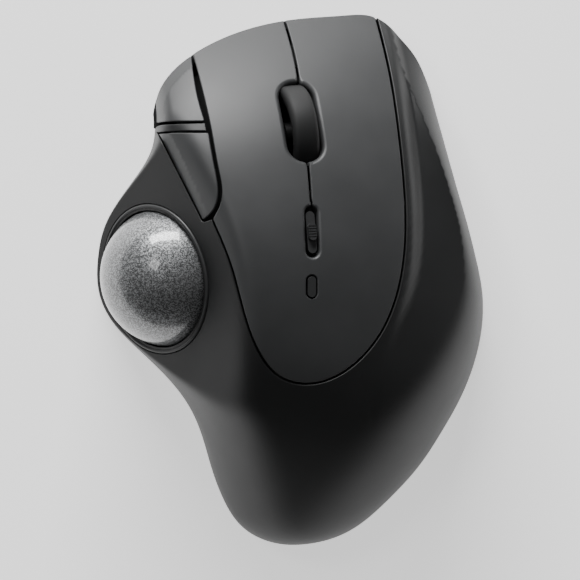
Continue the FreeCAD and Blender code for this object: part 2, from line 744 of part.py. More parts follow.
def make_unit(number, unit):
    """One bearing unit: an open carrier, a plain pin across it and the steel ring on the pin."""
    tag = f"bearing_{number}"
    frame = block(tag + "_frame", ("dims.carrier_length", "dims.carrier_width",
                                   "dims.carrier_height"),
                  (-dim("carrier_length") / 2, -dim("carrier_width") / 2, CARRIER_LOW))
    boss = rod(tag + "_boss", "dims.boss_radius", "dims.boss_length",
               (-dim("boss_length") / 2, 0, 0), VEC(1, 0, 0))
    room = block(tag + "_room", ("dims.ring_room", "dims.ring_window",
                                 "3 * dims.carrier_height"),
                 (-dim("ring_room") / 2, -dim("ring_window") / 2, -4.0))
    bore = rod(tag + "_bore", "dims.pin_radius + 0.02", "2 * dims.pin_length",
               (-dim("pin_length"), 0, 0), VEC(1, 0, 0))
    notch = block(tag + "_notch", ("dims.notch_width", "dims.carrier_width",
                                   "dims.notch_height"),
                  (-dim("notch_width") / 2, -dim("carrier_width"),
                   CARRIER_LOW + dim("carrier_height") - dim("notch_height")))
    carrier = less(tag + "_carrier", joined(tag, [frame, boss]), [room, bore, notch])
    carrier.Placement = unit
    keep(carrier, f"bearing_carrier_{number}")
    pin = rod(tag + "_pin", "dims.pin_radius", "dims.pin_length", (0, 0, 0))
    across = ROT(UPRIGHT, VEC(1, 0, 0))
    pin.Placement = unit.multiply(FreeCAD.Placement(VEC(-dim("pin_length") / 2, 0, 0), across))
    keep(pin, f"bearing_pin_{number}")
    half = "0.5 * dims.ring_width"
    ring = turned(f"bearing_ring_{number}",
                  [("dims.ring_bore", "-" + half), ("dims.ring_radius", "-" + half),
                   ("dims.ring_radius", half), ("dims.ring_bore", half)], (0, 0, 0))
    ring.Placement = unit.multiply(FreeCAD.Placement(VEC(), across))


for number, unit in enumerate(UNITS, start=1):
    make_unit(number, unit)

# The optical sensor watches the ball through the window at the bottom of the socket.
SENSOR = FreeCAD.Placement(BALL + INTO_CUP * 21.0, ROT(LEVEL, VEC(), INTO_CUP, "ZXY"))
BOARD_BACK = 3.2


def sensor_piece(label, sizes, low):
    """A box on the sensor's axis, low being how far beyond the sensor's origin it starts."""
    piece = block(label + "_block", sizes, (0, 0, 0))
    corner = VEC(-evaluate(sizes[0]) / 2, -evaluate(sizes[1]) / 2, low)
    piece.Placement = SENSOR.multiply(FreeCAD.Placement(corner, ROT()))
    return keep(piece, label)


lens = rod("sensor_lens_body", "0.2 * dims.sensor_board_length", "0.9", (0, 0, 0))
lens.Placement = SENSOR
keep(lens, "sensor_lens")
sensor_piece("ball_sensor", ("0.9 * dims.sensor_board_width", "0.6 * dims.sensor_board_width",
                             "0.2 * dims.sensor_board_width"), 1.1)
sensor_piece("sensor_board", ("dims.sensor_board_length", "dims.sensor_board_width",
                              "dims.board_thick"), BOARD_BACK)

# --------------------------------------------------------------------------------------
# Scroll wheel
# --------------------------------------------------------------------------------------
WHEEL = WHEEL_TOP.multiply(FreeCAD.Placement(VEC(0, 0, -WHEEL_SINK), ROT()))
AXLE_WAY = ROT(UPRIGHT, VEC(1, 0, 0))
TRUNNION_LOW = -3.0
BAR_LOW = -16.0
PLATE_LOW = -21.0
GUIDES = (-14.0, 2.5)


def on_wheel(obj, offset=(0, 0, 0), turn=ROT()):
    """Carries an object that was made about the wheel's centre to the wheel."""
    obj.Placement = WHEEL.multiply(FreeCAD.Placement(VEC(*offset), turn))
    return obj


def wheel_disc(label, profile):
    """A piece of revolution about the wheel's axle."""
    return on_wheel(turned(label, profile, (0, 0, 0)), turn=AXLE_WAY)


wheel_disc("wheel_tyre", [
    ("dims.wheel_radius - dims.tyre_thick", "-0.5 * dims.wheel_width"),
    ("dims.wheel_radius - 0.35 * dims.tyre_thick", "-0.5 * dims.wheel_width"),
    ("dims.wheel_radius", "-0.36 * dims.wheel_width"),
    ("dims.wheel_radius", "0.36 * dims.wheel_width"),
    ("dims.wheel_radius - 0.35 * dims.tyre_thick", "0.5 * dims.wheel_width"),
    ("dims.wheel_radius - dims.tyre_thick", "0.5 * dims.wheel_width")])
INSIDE_TYRE = "dims.wheel_radius - dims.tyre_thick - 0.02"
wheel_disc("wheel_hub", [
    ("dims.axle_radius + 0.02", "-0.5 * dims.hub_width"),
    ("dims.hub_boss", "-0.5 * dims.hub_width"), ("dims.hub_boss", "-0.5 * dims.hub_web"),
    (INSIDE_TYRE + " - dims.hub_rim", "-0.5 * dims.hub_web"),
    (INSIDE_TYRE + " - dims.hub_rim", "-0.5 * dims.hub_width"),
    (INSIDE_TYRE, "-0.5 * dims.hub_width"), (INSIDE_TYRE, "0.5 * dims.hub_width"),
    (INSIDE_TYRE + " - dims.hub_rim", "0.5 * dims.hub_width"),
    (INSIDE_TYRE + " - dims.hub_rim", "0.5 * dims.hub_web"),
    ("dims.hub_boss", "0.5 * dims.hub_web"), ("dims.hub_boss", "0.5 * dims.hub_width"),
    ("dims.axle_radius + 0.02", "0.5 * dims.hub_width")])
axle = rod("wheel_axle_rod", "dims.axle_radius", "dims.axle_length", (0, 0, 0))
keep(on_wheel(axle, (-dim("axle_length") / 2, 0, 0), AXLE_WAY), "wheel_axle")

CRADLE_IN_X = dim("wheel_width") / 2 + dim("cradle_room")
CRADLE_IN_Y = dim("wheel_radius") + dim("cradle_room")
CRADLE_X = CRADLE_IN_X + dim("cradle_side")
CRADLE_Y = CRADLE_IN_Y + dim("cradle_end")
CRADLE_TOP = 1.9
SUPPORT_ROOM = 2.5
room_x, room_y = CRADLE_X + SUPPORT_ROOM, CRADLE_Y + SUPPORT_ROOM
support = support.cut(placed(box_between((-room_x, -room_y, -FAR), (room_x, room_y, FAR)), WHEEL))


def make_cradle():
    """The ring frame round the wheel: it holds the axle and rocks on two end trunnions."""
    low = CRADLE_TOP - dim("cradle_height")
    frame = box_between((-CRADLE_X, -CRADLE_Y, low), (CRADLE_X, CRADLE_Y, CRADLE_TOP))
    frame = frame.cut(box_between((-CRADLE_IN_X, -CRADLE_IN_Y, -FAR),
                                  (CRADLE_IN_X, CRADLE_IN_Y, FAR)))
    reach = CRADLE_Y + dim("trunnion_length")
    for way in (-1, 1):
        start = VEC(0, way * (CRADLE_Y - 0.1), TRUNNION_LOW)
        frame = frame.fuse(Part.makeCylinder(dim("trunnion_radius"), reach - CRADLE_Y + 0.1,
                                             start, VEC(0, way, 0)))
    bore = Part.makeCylinder(dim("axle_radius") + dim("axle_play"), 4 * CRADLE_X,
                             VEC(-2 * CRADLE_X, 0, 0), VEC(1, 0, 0))
    return frame.cut(bore)


def make_press_frame():
    """The sprung U that lets the whole wheel go down: two posts on a bar with guide bores."""
    half = dim("frame_width") / 2
    near, far = CRADLE_Y + 0.6, CRADLE_Y + dim("trunnion_length")
    bar = box_between((-half, -far, BAR_LOW), (half, far, BAR_LOW + dim("frame_bar")))
    top = TRUNNION_LOW + dim("trunnion_radius") + 1.4
    posts = [box_between((-half, min(a, b), BAR_LOW), (half, max(a, b), top))
             for a, b in ((near, far), (-near, -far))]
    bore = Part.makeCylinder(dim("trunnion_radius") + dim("axle_play"), 2 * FAR,
                             VEC(0, -FAR, TRUNNION_LOW), VEC(0, 1, 0))
    guides = [Part.makeCylinder(dim("guide_radius") + 0.08, 6.0, VEC(0, y, BAR_LOW - 2.0))
              for y in GUIDES]
    return bar.fuse(posts).cut([bore] + guides)


def make_bracket():
    """The fixed bracket under the wheel: a sloping plate, two guide pins and four legs."""
    half = 6.5
    plate = box_between((-half, -18.0, PLATE_LOW), (half, 5.0, PLATE_LOW + 1.5))
    pins = [Part.makeCylinder(dim("guide_radius"), 7.3, VEC(0, y, PLATE_LOW)) for y in GUIDES]
    bracket = placed(plate.fuse(pins), WHEEL)
    floor = dim("board_height") + dim("board_thick")
    middle = WHEEL.multVec(VEC(0, -6.5, PLATE_LOW))
    for dx in (-5.0, 5.0):
        for dy in (-8.0, 8.0):
            x, y = middle.x + dx, middle.y + dy
            leg = box_between((x - 1.2, y - 1.2, floor), (x + 1.2, y + 1.2, floor + 16.0))
            bracket = bracket.fuse(leg.cut(placed(
                box_between((-FAR, -FAR, PLATE_LOW + 0.5), (FAR, FAR, FAR)), WHEEL)))
    return bracket


free_form("wheel_cradle", placed(make_cradle(), WHEEL))
free_form("wheel_press_frame", placed(make_press_frame(), WHEEL))
free_form("wheel_bracket", make_bracket())


def coil(radius, wire, pitch, length):
    """A coil spring standing on the origin."""
    path = Part.makeHelix(pitch, length, radius)
    ring = Part.Wire(Part.Circle(VEC(radius, 0, 0), VEC(0, 1, 0), wire).toShape())
    return Part.Wire(path).makePipeShell([ring], True, True)


spring_room = BAR_LOW - PLATE_LOW - 1.5
spring = coil(2.0, 0.25, 0.9, spring_room - 1.3)
free_form("wheel_spring", placed(spring, WHEEL.multiply(FreeCAD.Placement(
    VEC(0, GUIDES[0], PLATE_LOW + 1.8), ROT()))))

# --------------------------------------------------------------------------------------
# Boards and switches
# --------------------------------------------------------------------------------------
BOARD_CENTRE = (0.0, 33.0)
slab("main_board", "dims.board_width", "dims.board_depth", "dims.board_thick",
     (*BOARD_CENTRE, dim("board_height")))
SIDE_TURN = ROT(VEC(1, 0, 0), -31.0).multiply(ROT(VEC(0, 1, 0), -30.0))
SIDE_BOARD = FreeCAD.Placement(VEC(-24.7, 37.6, 27.6), SIDE_TURN)
slab("side_board", "dims.side_board_width", "dims.side_board_length", "dims.board_thick",
     tuple(SIDE_BOARD.Base), SIDE_TURN)
UPPER_PLACE = (5.6, 6.0)
UPPER_LEVEL = 35.2
slab("upper_board", "dims.upper_board_width", "dims.upper_board_length", "dims.board_thick",
     (*UPPER_PLACE, UPPER_LEVEL))

CLICK_PLACES = {"left": (-15.0, 47.0), "right": (12.8, 47.0)}
BOARD_TOP = dim("board_height") + dim("board_thick")


def click_switch(label, placement):
    """A snap switch: a moulded block with its nub on top."""
    body = block(label + "_body", ("dims.switch_length", "dims.switch_breadth",
                                   "dims.switch_rise"),
                 (-dim("switch_length") / 2, -dim("switch_breadth") / 2, 0))
    nub = rod(label + "_nub", "1.1", "dims.nub_rise + 0.5", (0, 0, dim("switch_rise") - 0.5))
    whole = joined(label, [body, nub])
    whole.Placement = placement
    return keep(whole, label)


def tact_switch(label, placement):
    """A low square switch with a round nub."""
    side = "dims.tact_side"
    body = block(label + "_body", (side, side, "dims.tact_rise"),
                 (-dim("tact_side") / 2, -dim("tact_side") / 2, 0))
    nub = rod(label + "_nub", "dims.tact_nub", "dims.nub_rise + 0.5",
              (0, 0, dim("tact_rise") - 0.5))
    whole = joined(label, [body, nub])
    whole.Placement = placement
    return keep(whole, label)


for side, (x, y) in CLICK_PLACES.items():
    click_switch(f"{side}_switch", FreeCAD.Placement(VEC(x, y, BOARD_TOP), ROT()))

SIDE_SPOTS = {"forward": 8.5, "back": -8.0}
for side, offset in SIDE_SPOTS.items():
    tact_switch(f"{side}_switch", SIDE_BOARD.multiply(
        FreeCAD.Placement(VEC(0, offset, dim("board_thick")), ROT())))
tact_switch("wheel_switch", WHEEL.multiply(
    FreeCAD.Placement(VEC(0, -5.5, PLATE_LOW + 1.5), ROT())))
UPPER_TOP = UPPER_LEVEL + dim("board_thick")
tact_switch("pill_switch", FreeCAD.Placement(VEC(*PILL_PLACE, UPPER_TOP), ROT()))
mode_body = block("mode_body_block", ("dims.tact_side", "1.6 * dims.tact_side",
                                      "1.2 * dims.tact_rise"),
                  (SLIDER_PLACE[0] - dim("tact_side") / 2,
                   SLIDER_PLACE[1] - 0.8 * dim("tact_side"), UPPER_TOP))
keep(mode_body, "mode_switch")

# --------------------------------------------------------------------------------------
# Slide switch, pill button and the buttons' posts
# --------------------------------------------------------------------------------------
STEM = 0.8
KNOB_LOW = 2.0


def stem_to(level, place):
    """A round stem from just under the skin, straight down to a level."""
    return Part.makeCylinder(STEM, skin_height(*place) - 1.6 - level, VEC(*place, level))


def make_slider():
    """The mode knob: a flat tongue with a ribbed grip, and a stem down to its switch."""
    knob = stadium_bar(dim("slider_length"), dim("slider_width"), -KNOB_LOW, -0.9)
    grip = stadium_bar(dim("grip_length"), dim("grip_width"), -1.2, 0.35)
    ribs = [box_between((-2.0, y - 0.14, 0.1), (2.0, y + 0.14, 1.0))
            for y in (-1.35, -0.68, 0.0, 0.68, 1.35)]
    knob = placed(knob.fuse(grip.cut(ribs)), SLIDER_SEAT)
    level = UPPER_TOP + 1.2 * dim("tact_rise") + 0.4
    return knob.fuse(stem_to(level, SLIDER_PLACE))


def make_pill():
    """The pill-shaped button: a bar and a stem down to its switch."""
    bar = stadium_bar(dim("pill_length"), dim("pill_width"), -KNOB_LOW, 0.1)
    level = UPPER_TOP + dim("tact_rise") + dim("nub_rise") + 0.35
    return placed(bar, PILL_SEAT).fuse(stem_to(level, PILL_PLACE))


def slot_for_stem(place, travel):
    """An upright slot through the support for a stem."""
    return prism(stadium(place, 2 * (STEM + travel) + 1.0, 2 * STEM + 1.0, 0.0), 30, FAR)


POST = 1.7
POST_ROOM = 0.65


def button_post(place, plate):
    """A post from under a cursor button down to just over its switch's nub."""
    level = BOARD_TOP + dim("switch_rise") + dim("nub_rise") + POST_ROOM
    top = skin_height(*place) - dim("plate_thick") / 2
    x, y = place
    return plate.fuse(box_between((x - POST, y - POST, level), (x + POST, y + POST, top)))


def side_post(offset, button):
    """A post square to the side board, from a side button down to its switch."""
    level = dim("board_thick") + dim("tact_rise") + dim("nub_rise") + 0.7
    post = Part.makeCylinder(1.3, 40.0, VEC(0, offset, level))
    return button.fuse(placed(post, SIDE_BOARD).common(lowered(OUTER, 0.6)))


def square_hole(place, half):
    """An upright square cutter."""
    x, y = place
    return box_between((x - half, y - half, 0), (x + half, y + half, FAR))


left_button = button_post(CLICK_PLACES["left"], left_button)
right_button = button_post(CLICK_PLACES["right"], right_button)
for place in CLICK_PLACES.values():
    support = support.cut(square_hole(place, POST + 0.8))
support = support.cut(slot_for_stem(SLIDER_PLACE, 1.0)).cut(slot_for_stem(PILL_PLACE, 0.3))
free_form("mode_slider", make_slider())
free_form("pill_button", make_pill())
free_form("top_plate", tongue)
free_form("left_button", left_button)
free_form("right_button", right_button)
free_form("plate_support", support)
free_form("forward_button", side_post(SIDE_SPOTS["forward"], forward_button))
free_form("back_button", side_post(SIDE_SPOTS["back"], back_button))

# --------------------------------------------------------------------------------------
# Main shell's screw posts, and the base
# --------------------------------------------------------------------------------------
SCREW_PLACES = [(-10.0, -52.0), (31.0, -32.0), (38.0, 16.0), (-31.3, 46.5), (31.0, 46.5)]
LOW_POST = (-31.3, 46.5)
POST_FOOT = 5.05
DOOR_CENTRE = (8.0, -30.5)
POWER_PLACE = (-12.0, -26.0)


def make_screw_posts():
    """Hollow posts that hang from the shell and take the base's screws."""
    posts = []
    for x, y in SCREW_PLACES:
        tall = 14.0 if (x, y) == LOW_POST else FAR
        post = Part.makeCylinder(3.0, tall, VEC(x, y, POST_FOOT))
        posts.append(post.common(lowered(OUTER, 0.8)))
    return posts


def add_posts(shell):
    """The shell with its screw posts and the bores in them."""
    whole = shell.fuse(make_screw_posts())
    bores = [Part.makeCylinder(dim("screw_radius") + 0.02, 7.5, VEC(x, y, POST_FOOT - 1))
             for x, y in SCREW_PLACES]
    whole = whole.cut(bores)
    return max(whole.Solids, key=lambda solid: solid.Volume)


free_form("main_shell", add_posts(main_shell))


def lowest_face(solid):
    """A copy of the flat face that a hull stands on."""
    return min(solid.Faces, key=lambda face: face.CenterOfMass.z).copy()


def make_base():
    """The tray that closes the casing, with its bosses, bays and openings."""
    level, bottom = dim("parting_height"), dim("base_bottom")
    floor = bottom + dim("base_floor")
    tray = lowest_face(OUTER).extrude(VEC(0, 0, bottom - level))
    inner = lowest_face(INNER)
    inner.translate(VEC(0, 0, floor - inner.CenterOfMass.z))
    tray = tray.cut(inner.extrude(VEC(0, 0, level)))
    x, y = DOOR_CENTRE
    half_w, half_l = dim("door_width") / 2, dim("door_length") / 2
    walls = box_between((x - half_w - 1.2, y - half_l - 1.2, floor),
                        (x + half_w + 1.2, y + half_l + 1.2, 9.0))
    walls = walls.cut(box_between((x - half_w, y - half_l, 0), (x + half_w, y + half_l, FAR)))
    bosses = [Part.makeCylinder(3.0, POST_FOOT - 0.05 - floor, VEC(a, b, floor))
              for a, b in SCREW_PLACES]
    bx, by = BOARD_CENTRE
    stand_x, stand_y = dim("board_width") / 2 - 3.0, dim("board_depth") / 2 - 3.0
    stands = [Part.makeCylinder(2.0, dim("board_height") - floor,
                                VEC(bx + i * stand_x, by + j * stand_y, floor))
              for i in (-1, 1) for j in (-1, 1)]
    tray = tray.fuse([walls] + bosses + stands)
    tray = tray.cut(box_between((x - half_w, y - half_l, 0), (x + half_w, y + half_l, floor)))
    holes = [Part.makeCylinder(dim("screw_radius") + 0.15, FAR, VEC(a, b, 0))
             for a, b in SCREW_PLACES]
    heads = [Part.makeCylinder(dim("screw_head") + 0.15, 1.8, VEC(a, b, bottom - 0.2))
             for a, b in SCREW_PLACES]
    eject = Part.makeCylinder(dim("eject_radius") + 1.0, FAR, VEC(BALL.x, BALL.y, 0))
    px, py = POWER_PLACE
    slot_x, slot_y = dim("power_width") / 2 + 0.3, dim("power_length") / 2 + 1.8
    power = box_between((px - slot_x, py - slot_y, 0), (px + slot_x, py + slot_y, floor + 0.1))
    return tray.cut(holes + heads + [eject, power] + pad_prisms(0.1))


PAD_PLACES = [(-19.0, 52.5, 112.0), (19.0, 58.5, 90.0), (-43.0, 3.0, 0.0), (43.0, -8.0, 0.0),
              (3.0, -61.9, 90.0)]


def pad_prisms(grow):
    """The glide pads, or the shallow recesses that they are stuck in."""
    recess_top = dim("base_bottom") + dim("pad_recess")
    return [prism(stadium((x, y), dim("pad_length") + 2 * grow, dim("pad_width") + 2 * grow,
                          turn), 0, recess_top) for x, y, turn in PAD_PLACES]


free_form("base_shell", make_base())
free_form("glide_pads", Part.makeCompound(pad_prisms(0.0)))


def make_screw(x, y):
    """One self-tapping screw, head down, with a cross recess."""
    low = dim("base_bottom") + 0.4
    head = Part.makeCylinder(dim("screw_head"), dim("screw_head_rise"), VEC(x, y, low))
    shank = Part.makeCylinder(dim("screw_radius"), dim("screw_length") + 0.2,
                              VEC(x, y, low + dim("screw_head_rise") - 0.2))
    cross = [box_between((x - a, y - b, 0), (x + a, y + b, low + 0.6))
             for a, b in ((1.2, 0.22), (0.22, 1.2))]
    return head.fuse(shank).cut(cross)


free_form("base_screws", Part.makeCompound([make_screw(x, y) for x, y in SCREW_PLACES]))

# --------------------------------------------------------------------------------------
# Battery bay, door and power switch
# --------------------------------------------------------------------------------------
door = slab("door_panel", "dims.door_width - 2 * dims.door_gap",
            "dims.door_length - 2 * dims.door_gap", "dims.door_thick",
            (*DOOR_CENTRE, dim("base_bottom")), sub=True)
grips = [block(f"door_groove_{i}", ("0.5 * dims.door_width", "0.9", "0.4"),
               (DOOR_CENTRE[0] - dim("door_width") / 4, DOOR_CENTRE[1] + 16.0 + 2.2 * i,
                dim("base_bottom"))) for i in range(4)]
keep(less("door", door, grips), "battery_door")

CELL_BACK = DOOR_CENTRE[1] - dim("battery_length") / 2 + 0.6
CELL_HEIGHT = dim("base_bottom") + dim("door_thick") + 0.35 + dim("battery_radius")
turned("battery_cell", [
    ("0", "0"), ("dims.battery_radius - 0.8", "0"), ("dims.battery_radius", "0.8"),
    ("dims.battery_radius", "dims.battery_length - 0.8"),
    ("dims.battery_radius - 0.8", "dims.battery_length"),
    ("dims.nub_radius", "dims.battery_length"),
    ("dims.nub_radius", "dims.battery_length + dims.nub_length"),
    ("0", "dims.battery_length + dims.nub_length")],
    (DOOR_CENTRE[0], CELL_BACK, CELL_HEIGHT), VEC(0, 1, 0))
back_wall = DOOR_CENTRE[1] - dim("door_length") / 2
contact = coil(3.0, 0.3, 1.35, CELL_BACK - back_wall - 1.4)
free_form("contact_spring", placed(contact, FreeCAD.Placement(
    VEC(DOOR_CENTRE[0], back_wall + 0.6, CELL_HEIGHT), ROT(UPRIGHT, VEC(0, 1, 0)))))
front_wall = DOOR_CENTRE[1] + dim("door_length") / 2
keep(block("contact_plate_leaf", ("1.4 * dims.battery_radius", "0.4", "1.4 * dims.battery_radius"),
           (DOOR_CENTRE[0] - 0.7 * dim("battery_radius"), front_wall - 0.45,
            CELL_HEIGHT - 0.7 * dim("battery_radius"))), "contact_plate")

px, py = POWER_PLACE
floor_top = dim("base_bottom") + dim("base_floor")
knob = block("power_knob", ("dims.power_width", "dims.power_length", "2.0"),
             (px - dim("power_width") / 2, py - dim("power_length") / 2,
              dim("base_bottom") + 0.1))
flange = block("power_flange", ("dims.power_width + 2", "dims.power_length + 2", "0.7"),
               (px - dim("power_width") / 2 - 1, py - dim("power_length") / 2 - 1,
                floor_top + 0.15))
keep(joined("power", [knob, flange]), "power_slider")
keep(block("power_switch_block", ("dims.power_width + 4", "2.6 * dims.power_length", "3.2"),
           (px - dim("power_width") / 2 - 2, py - 1.3 * dim("power_length"),
            floor_top + 1.1)), "power_switch")

# --------------------------------------------------------------------------------------
# Files
# --------------------------------------------------------------------------------------
DOC.recompute()
for obj in DOC.Objects:
    bad = [state for state in obj.State if state in ("Invalid", "Error")]
    if bad:
        raise RuntimeError(f"{obj.Name}: {bad}")
os.makedirs("parts", exist_ok=True)
for part in SUBPARTS:
    shape = part.Shape
    if shape.isNull() or not shape.isValid() or not shape.Solids:
        raise RuntimeError(f"{part.Label} has no valid shape")
    shape.exportStep(f"parts/{part.Label}.step")
print(len(SUBPARTS), "sub-parts")
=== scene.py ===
# %% [markdown]
# # A thumb-operated trackball mouse
#
# The mouse is a free-form plastic body for the right hand. The thumb rests on a polished ball at
# the left. Two long buttons lie over the front, with a rubber-tyred scroll wheel between them.
# The visible mouldings are all cut from one skin, so this script first rebuilds that skin from
# its running lines, then trims each moulding out of it and rounds every edge as a mould would.

# %%
import math

import bmesh
import bpy
import numpy as np
from mathutils import Matrix, Vector
from mathutils.geometry import delaunay_2d_cdt


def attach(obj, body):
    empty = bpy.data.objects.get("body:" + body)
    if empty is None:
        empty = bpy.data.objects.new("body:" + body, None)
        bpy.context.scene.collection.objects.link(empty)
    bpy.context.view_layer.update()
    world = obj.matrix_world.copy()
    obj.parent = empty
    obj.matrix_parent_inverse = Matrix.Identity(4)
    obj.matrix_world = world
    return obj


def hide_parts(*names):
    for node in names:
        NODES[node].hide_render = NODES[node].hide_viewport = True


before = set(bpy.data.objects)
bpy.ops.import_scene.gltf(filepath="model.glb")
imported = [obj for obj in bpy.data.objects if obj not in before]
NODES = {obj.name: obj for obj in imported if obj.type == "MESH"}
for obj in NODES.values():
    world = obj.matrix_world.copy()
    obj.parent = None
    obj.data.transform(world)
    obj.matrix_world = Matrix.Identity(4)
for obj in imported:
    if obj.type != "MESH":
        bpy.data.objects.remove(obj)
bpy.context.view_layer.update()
MM = 0.001

# %% [markdown]
# ## The running lines
#
# A body like this is drawn as stations from the tail to the front. Each station has a left edge
# and a right edge. Further lines say how high the crest is, where it runs, how fast the top falls
# away from it and how wide the rounded flanks are. Every line is a natural cubic spline, so the
# surface has no kinks along its length. Lengths are in millimetres until a mesh is made.

# %%
def smooth_line(knots, start_flat=False):
    """A natural cubic through (t, value) knots, as a function that takes arrays."""
    ts, vs = np.array(knots, float).T
    n = len(ts)
    gaps = np.diff(ts)
    system, rhs = np.eye(n) * 2.0, np.zeros(n)
    if start_flat:
        system[0, 1] = 1.0
        rhs[0] = 6.0 * (vs[1] - vs[0]) / gaps[0] ** 2
    for i in range(1, n - 1):
        reach = gaps[i - 1] + gaps[i]
        system[i, i - 1], system[i, i + 1] = gaps[i - 1] / reach, gaps[i] / reach
        bend = (vs[i + 1] - vs[i]) / gaps[i] - (vs[i] - vs[i - 1]) / gaps[i - 1]
        rhs[i] = 6.0 * bend / reach
    curve = np.linalg.solve(system, rhs)

    def value(t):
        t = np.clip(np.asarray(t, float), ts[0], ts[-1])
        i = np.clip(np.searchsorted(ts, t, side="left") - 1, 0, n - 2)
        a, b = (ts[i + 1] - t) / gaps[i], (t - ts[i]) / gaps[i]
        swell = ((a**3 - a) * curve[i] + (b**3 - b) * curve[i + 1]) * gaps[i] ** 2 / 6.0
        return a * vs[i] + b * vs[i + 1] + swell

    return value


# Distance along the body, left edge, right edge.
STATIONS = [
    (-68.0, 0.5, 0.5), (-66.5, -7.3, 10.5), (-62.4, -13.3, 18.5), (-56.0, -17.3, 25.7),
    (-48.0, -20.3, 33.0), (-39.0, -23.0, 39.0), (-30.0, -27.5, 44.0), (-21.0, -35.5, 47.5),
    (-12.0, -44.6, 49.4), (-3.0, -49.1, 49.5), (6.0, -49.3, 47.8), (15.0, -47.1, 45.5),
    (24.0, -41.4, 42.9), (33.0, -35.8, 40.4), (42.0, -34.8, 37.9), (51.0, -36.0, 35.6),
    (60.0, -38.0, 34.0), (72.0, -40.0, 32.0),
]
station_along = smooth_line([(i, s[0]) for i, s in enumerate(STATIONS)], start_flat=True)
station_left = smooth_line([(i, s[1]) for i, s in enumerate(STATIONS)])
station_right = smooth_line([(i, s[2]) for i, s in enumerate(STATIONS)])
FRONT_LINE = [
    (-35.3, 37.5), (-34.9, 42.0), (-33.9, 46.5), (-30.6, 52.2), (-23.5, 58.2), (-12.3, 63.6),
    (2.0, 66.9), (14.0, 68.0), (20.5, 68.0), (24.2, 66.3), (28.0, 62.6), (32.0, 57.8),
    (34.6, 52.6), (36.9, 46.5),
]
crest_height = smooth_line([(-68, 20), (-50, 33), (-30, 44), (-10, 49.8), (8, 51.2),
                            (25, 48), (42, 40.5), (56, 30.5), (72, 16)])
crest_across = smooth_line([(-68, 3), (-40, -3), (-20, -12), (0, -18), (72, -20)])
fall_right = smooth_line([(-68, 0.0062), (20, 0.0058), (45, 0.0052), (72, 0.0036)])
round_left = smooth_line([(-68, 22), (-34, 21), (-22, 12), (-10, 4), (20, 4), (72, 4)])
round_right = smooth_line([(-68, 26), (-38, 26), (-20, 15), (-6, 7), (8, 3.4), (20, 2.6),
                           (35, 3.4), (59, 6.8), (72, 8)])
wing_step = smooth_line([(-40, 0), (-22, 0), (-8, 0.9), (6, 2.4), (25, 3.5), (45, 3.8), (72, 3.8)])
plate_right = smooth_line([(-30, 18), (-12, 23.5), (-3, 26.8), (4, 28.3), (12, 28.9),
                           (25, 28.5), (39, 27.1), (51, 25.5), (60, 23.8), (72, 20.6)])
PARTING, BRIM = 5.0, 6.0
CREST_BLEND, FALL_LEFT = 5.0, 0.025
LIP_WIDTH, STEP_WIDTH, WING_LIFT, RIDGE_CUT = 1.3, 4.0, 0.4, 0.08

BALL = np.array([-30.3, 1.2, 24.0])
BALL_RADIUS, SOCKET_RISE = 18.0, 5.5
TILT, TURN = math.radians(46.0), math.radians(12.0)
SOCKET_NORMAL = np.array([-math.sin(TILT) * math.cos(TURN), -math.sin(TILT) * math.sin(TURN),
                          math.cos(TILT)])


def shoulder(t):
    t = np.clip(t, 0.0, 1.0)
    return np.sqrt(1.0 - (1.0 - t) ** 3)


def ease(t):
    t = np.clip(t, 0.0, 1.0)
    return t**3 * (t * (6.0 * t - 15.0) + 10.0)


def soft_min(a, b, blend):
    near = np.maximum(blend - np.abs(a - b), 0.0) / blend
    return np.minimum(a, b) - near**3 * blend / 6.0


def top_height(x, along, left, right):
    """Height of the skin at plan points between the edges there."""
    across = crest_across(along)
    fall = np.where(x > across, fall_right(along), FALL_LEFT)
    height = crest_height(along) - fall * (x - across) ** 2
    foot = plate_right(along) + LIP_WIDTH
    step = wing_step(along)
    height = height - step * ease((x - foot) / STEP_WIDTH)
    reach = round_right(along)
    wing = np.clip((x - foot) / np.maximum(right - reach - foot, 1.0), 0.0, 1.0)
    height = height + WING_LIFT * step * wing**2
    ridge = 1.0 - RIDGE_CUT * step
    fall_off = shoulder(ridge * np.clip((right - x) / reach, 0.0, 1.0)) / shoulder(ridge)
    height = BRIM + (np.maximum(height, BRIM + 1.0) - BRIM) * (
        shoulder((x - left) / round_left(along)) * fall_off)
    nx, ny, nz = SOCKET_NORMAL
    slope = (SOCKET_RISE - nx * (x - BALL[0]) - ny * (along - BALL[1])) / nz
    return np.maximum(soft_min(height, BALL[2] + slope, CREST_BLEND), BRIM)


TABLE_T = np.linspace(0.0, len(STATIONS) - 1.0, 20001)
TABLE_Y = station_along(TABLE_T)


def to_sheet(x, y):
    """Plan points as (u, t): u runs 0 to 1 round the section, t counts stations."""
    t = np.interp(y, TABLE_Y, TABLE_T)
    left, right = station_left(t), station_right(t)
    s = np.clip((x - left) / (right - left), 0.0, 1.0)
    return np.stack([np.arccos(1.0 - 2.0 * s) / np.pi, t], axis=-1)


def to_space(ut):
    """Points of the skin for (u, t) points."""
    u, t = ut[..., 0], ut[..., 1]
    y, left, right = station_along(t), station_left(t), station_right(t)
    x = left + (right - left) * (1.0 - np.cos(np.pi * u)) / 2.0
    return np.stack([x, y, top_height(x, y, left, right)], axis=-1)


def slopes(ut):
    """Derivatives of the skin along u and along t, and its outward normal."""
    step = 1e-4
    du, dt = np.array([step, 0.0]), np.array([0.0, step])
    along_u = (to_space(ut + du) - to_space(ut - du)) / (2 * step)
    along_t = (to_space(ut + dt) - to_space(ut - dt)) / (2 * step)
    normal = np.cross(along_u, along_t)
    normal /= np.maximum(np.linalg.norm(normal, axis=-1, keepdims=True), 1e-9)
    return along_u, along_t, normal


def height_at(x, y):
    """Height of the skin over plan points."""
    return to_space(to_sheet(np.asarray(x, float), np.asarray(y, float)))[..., 2]


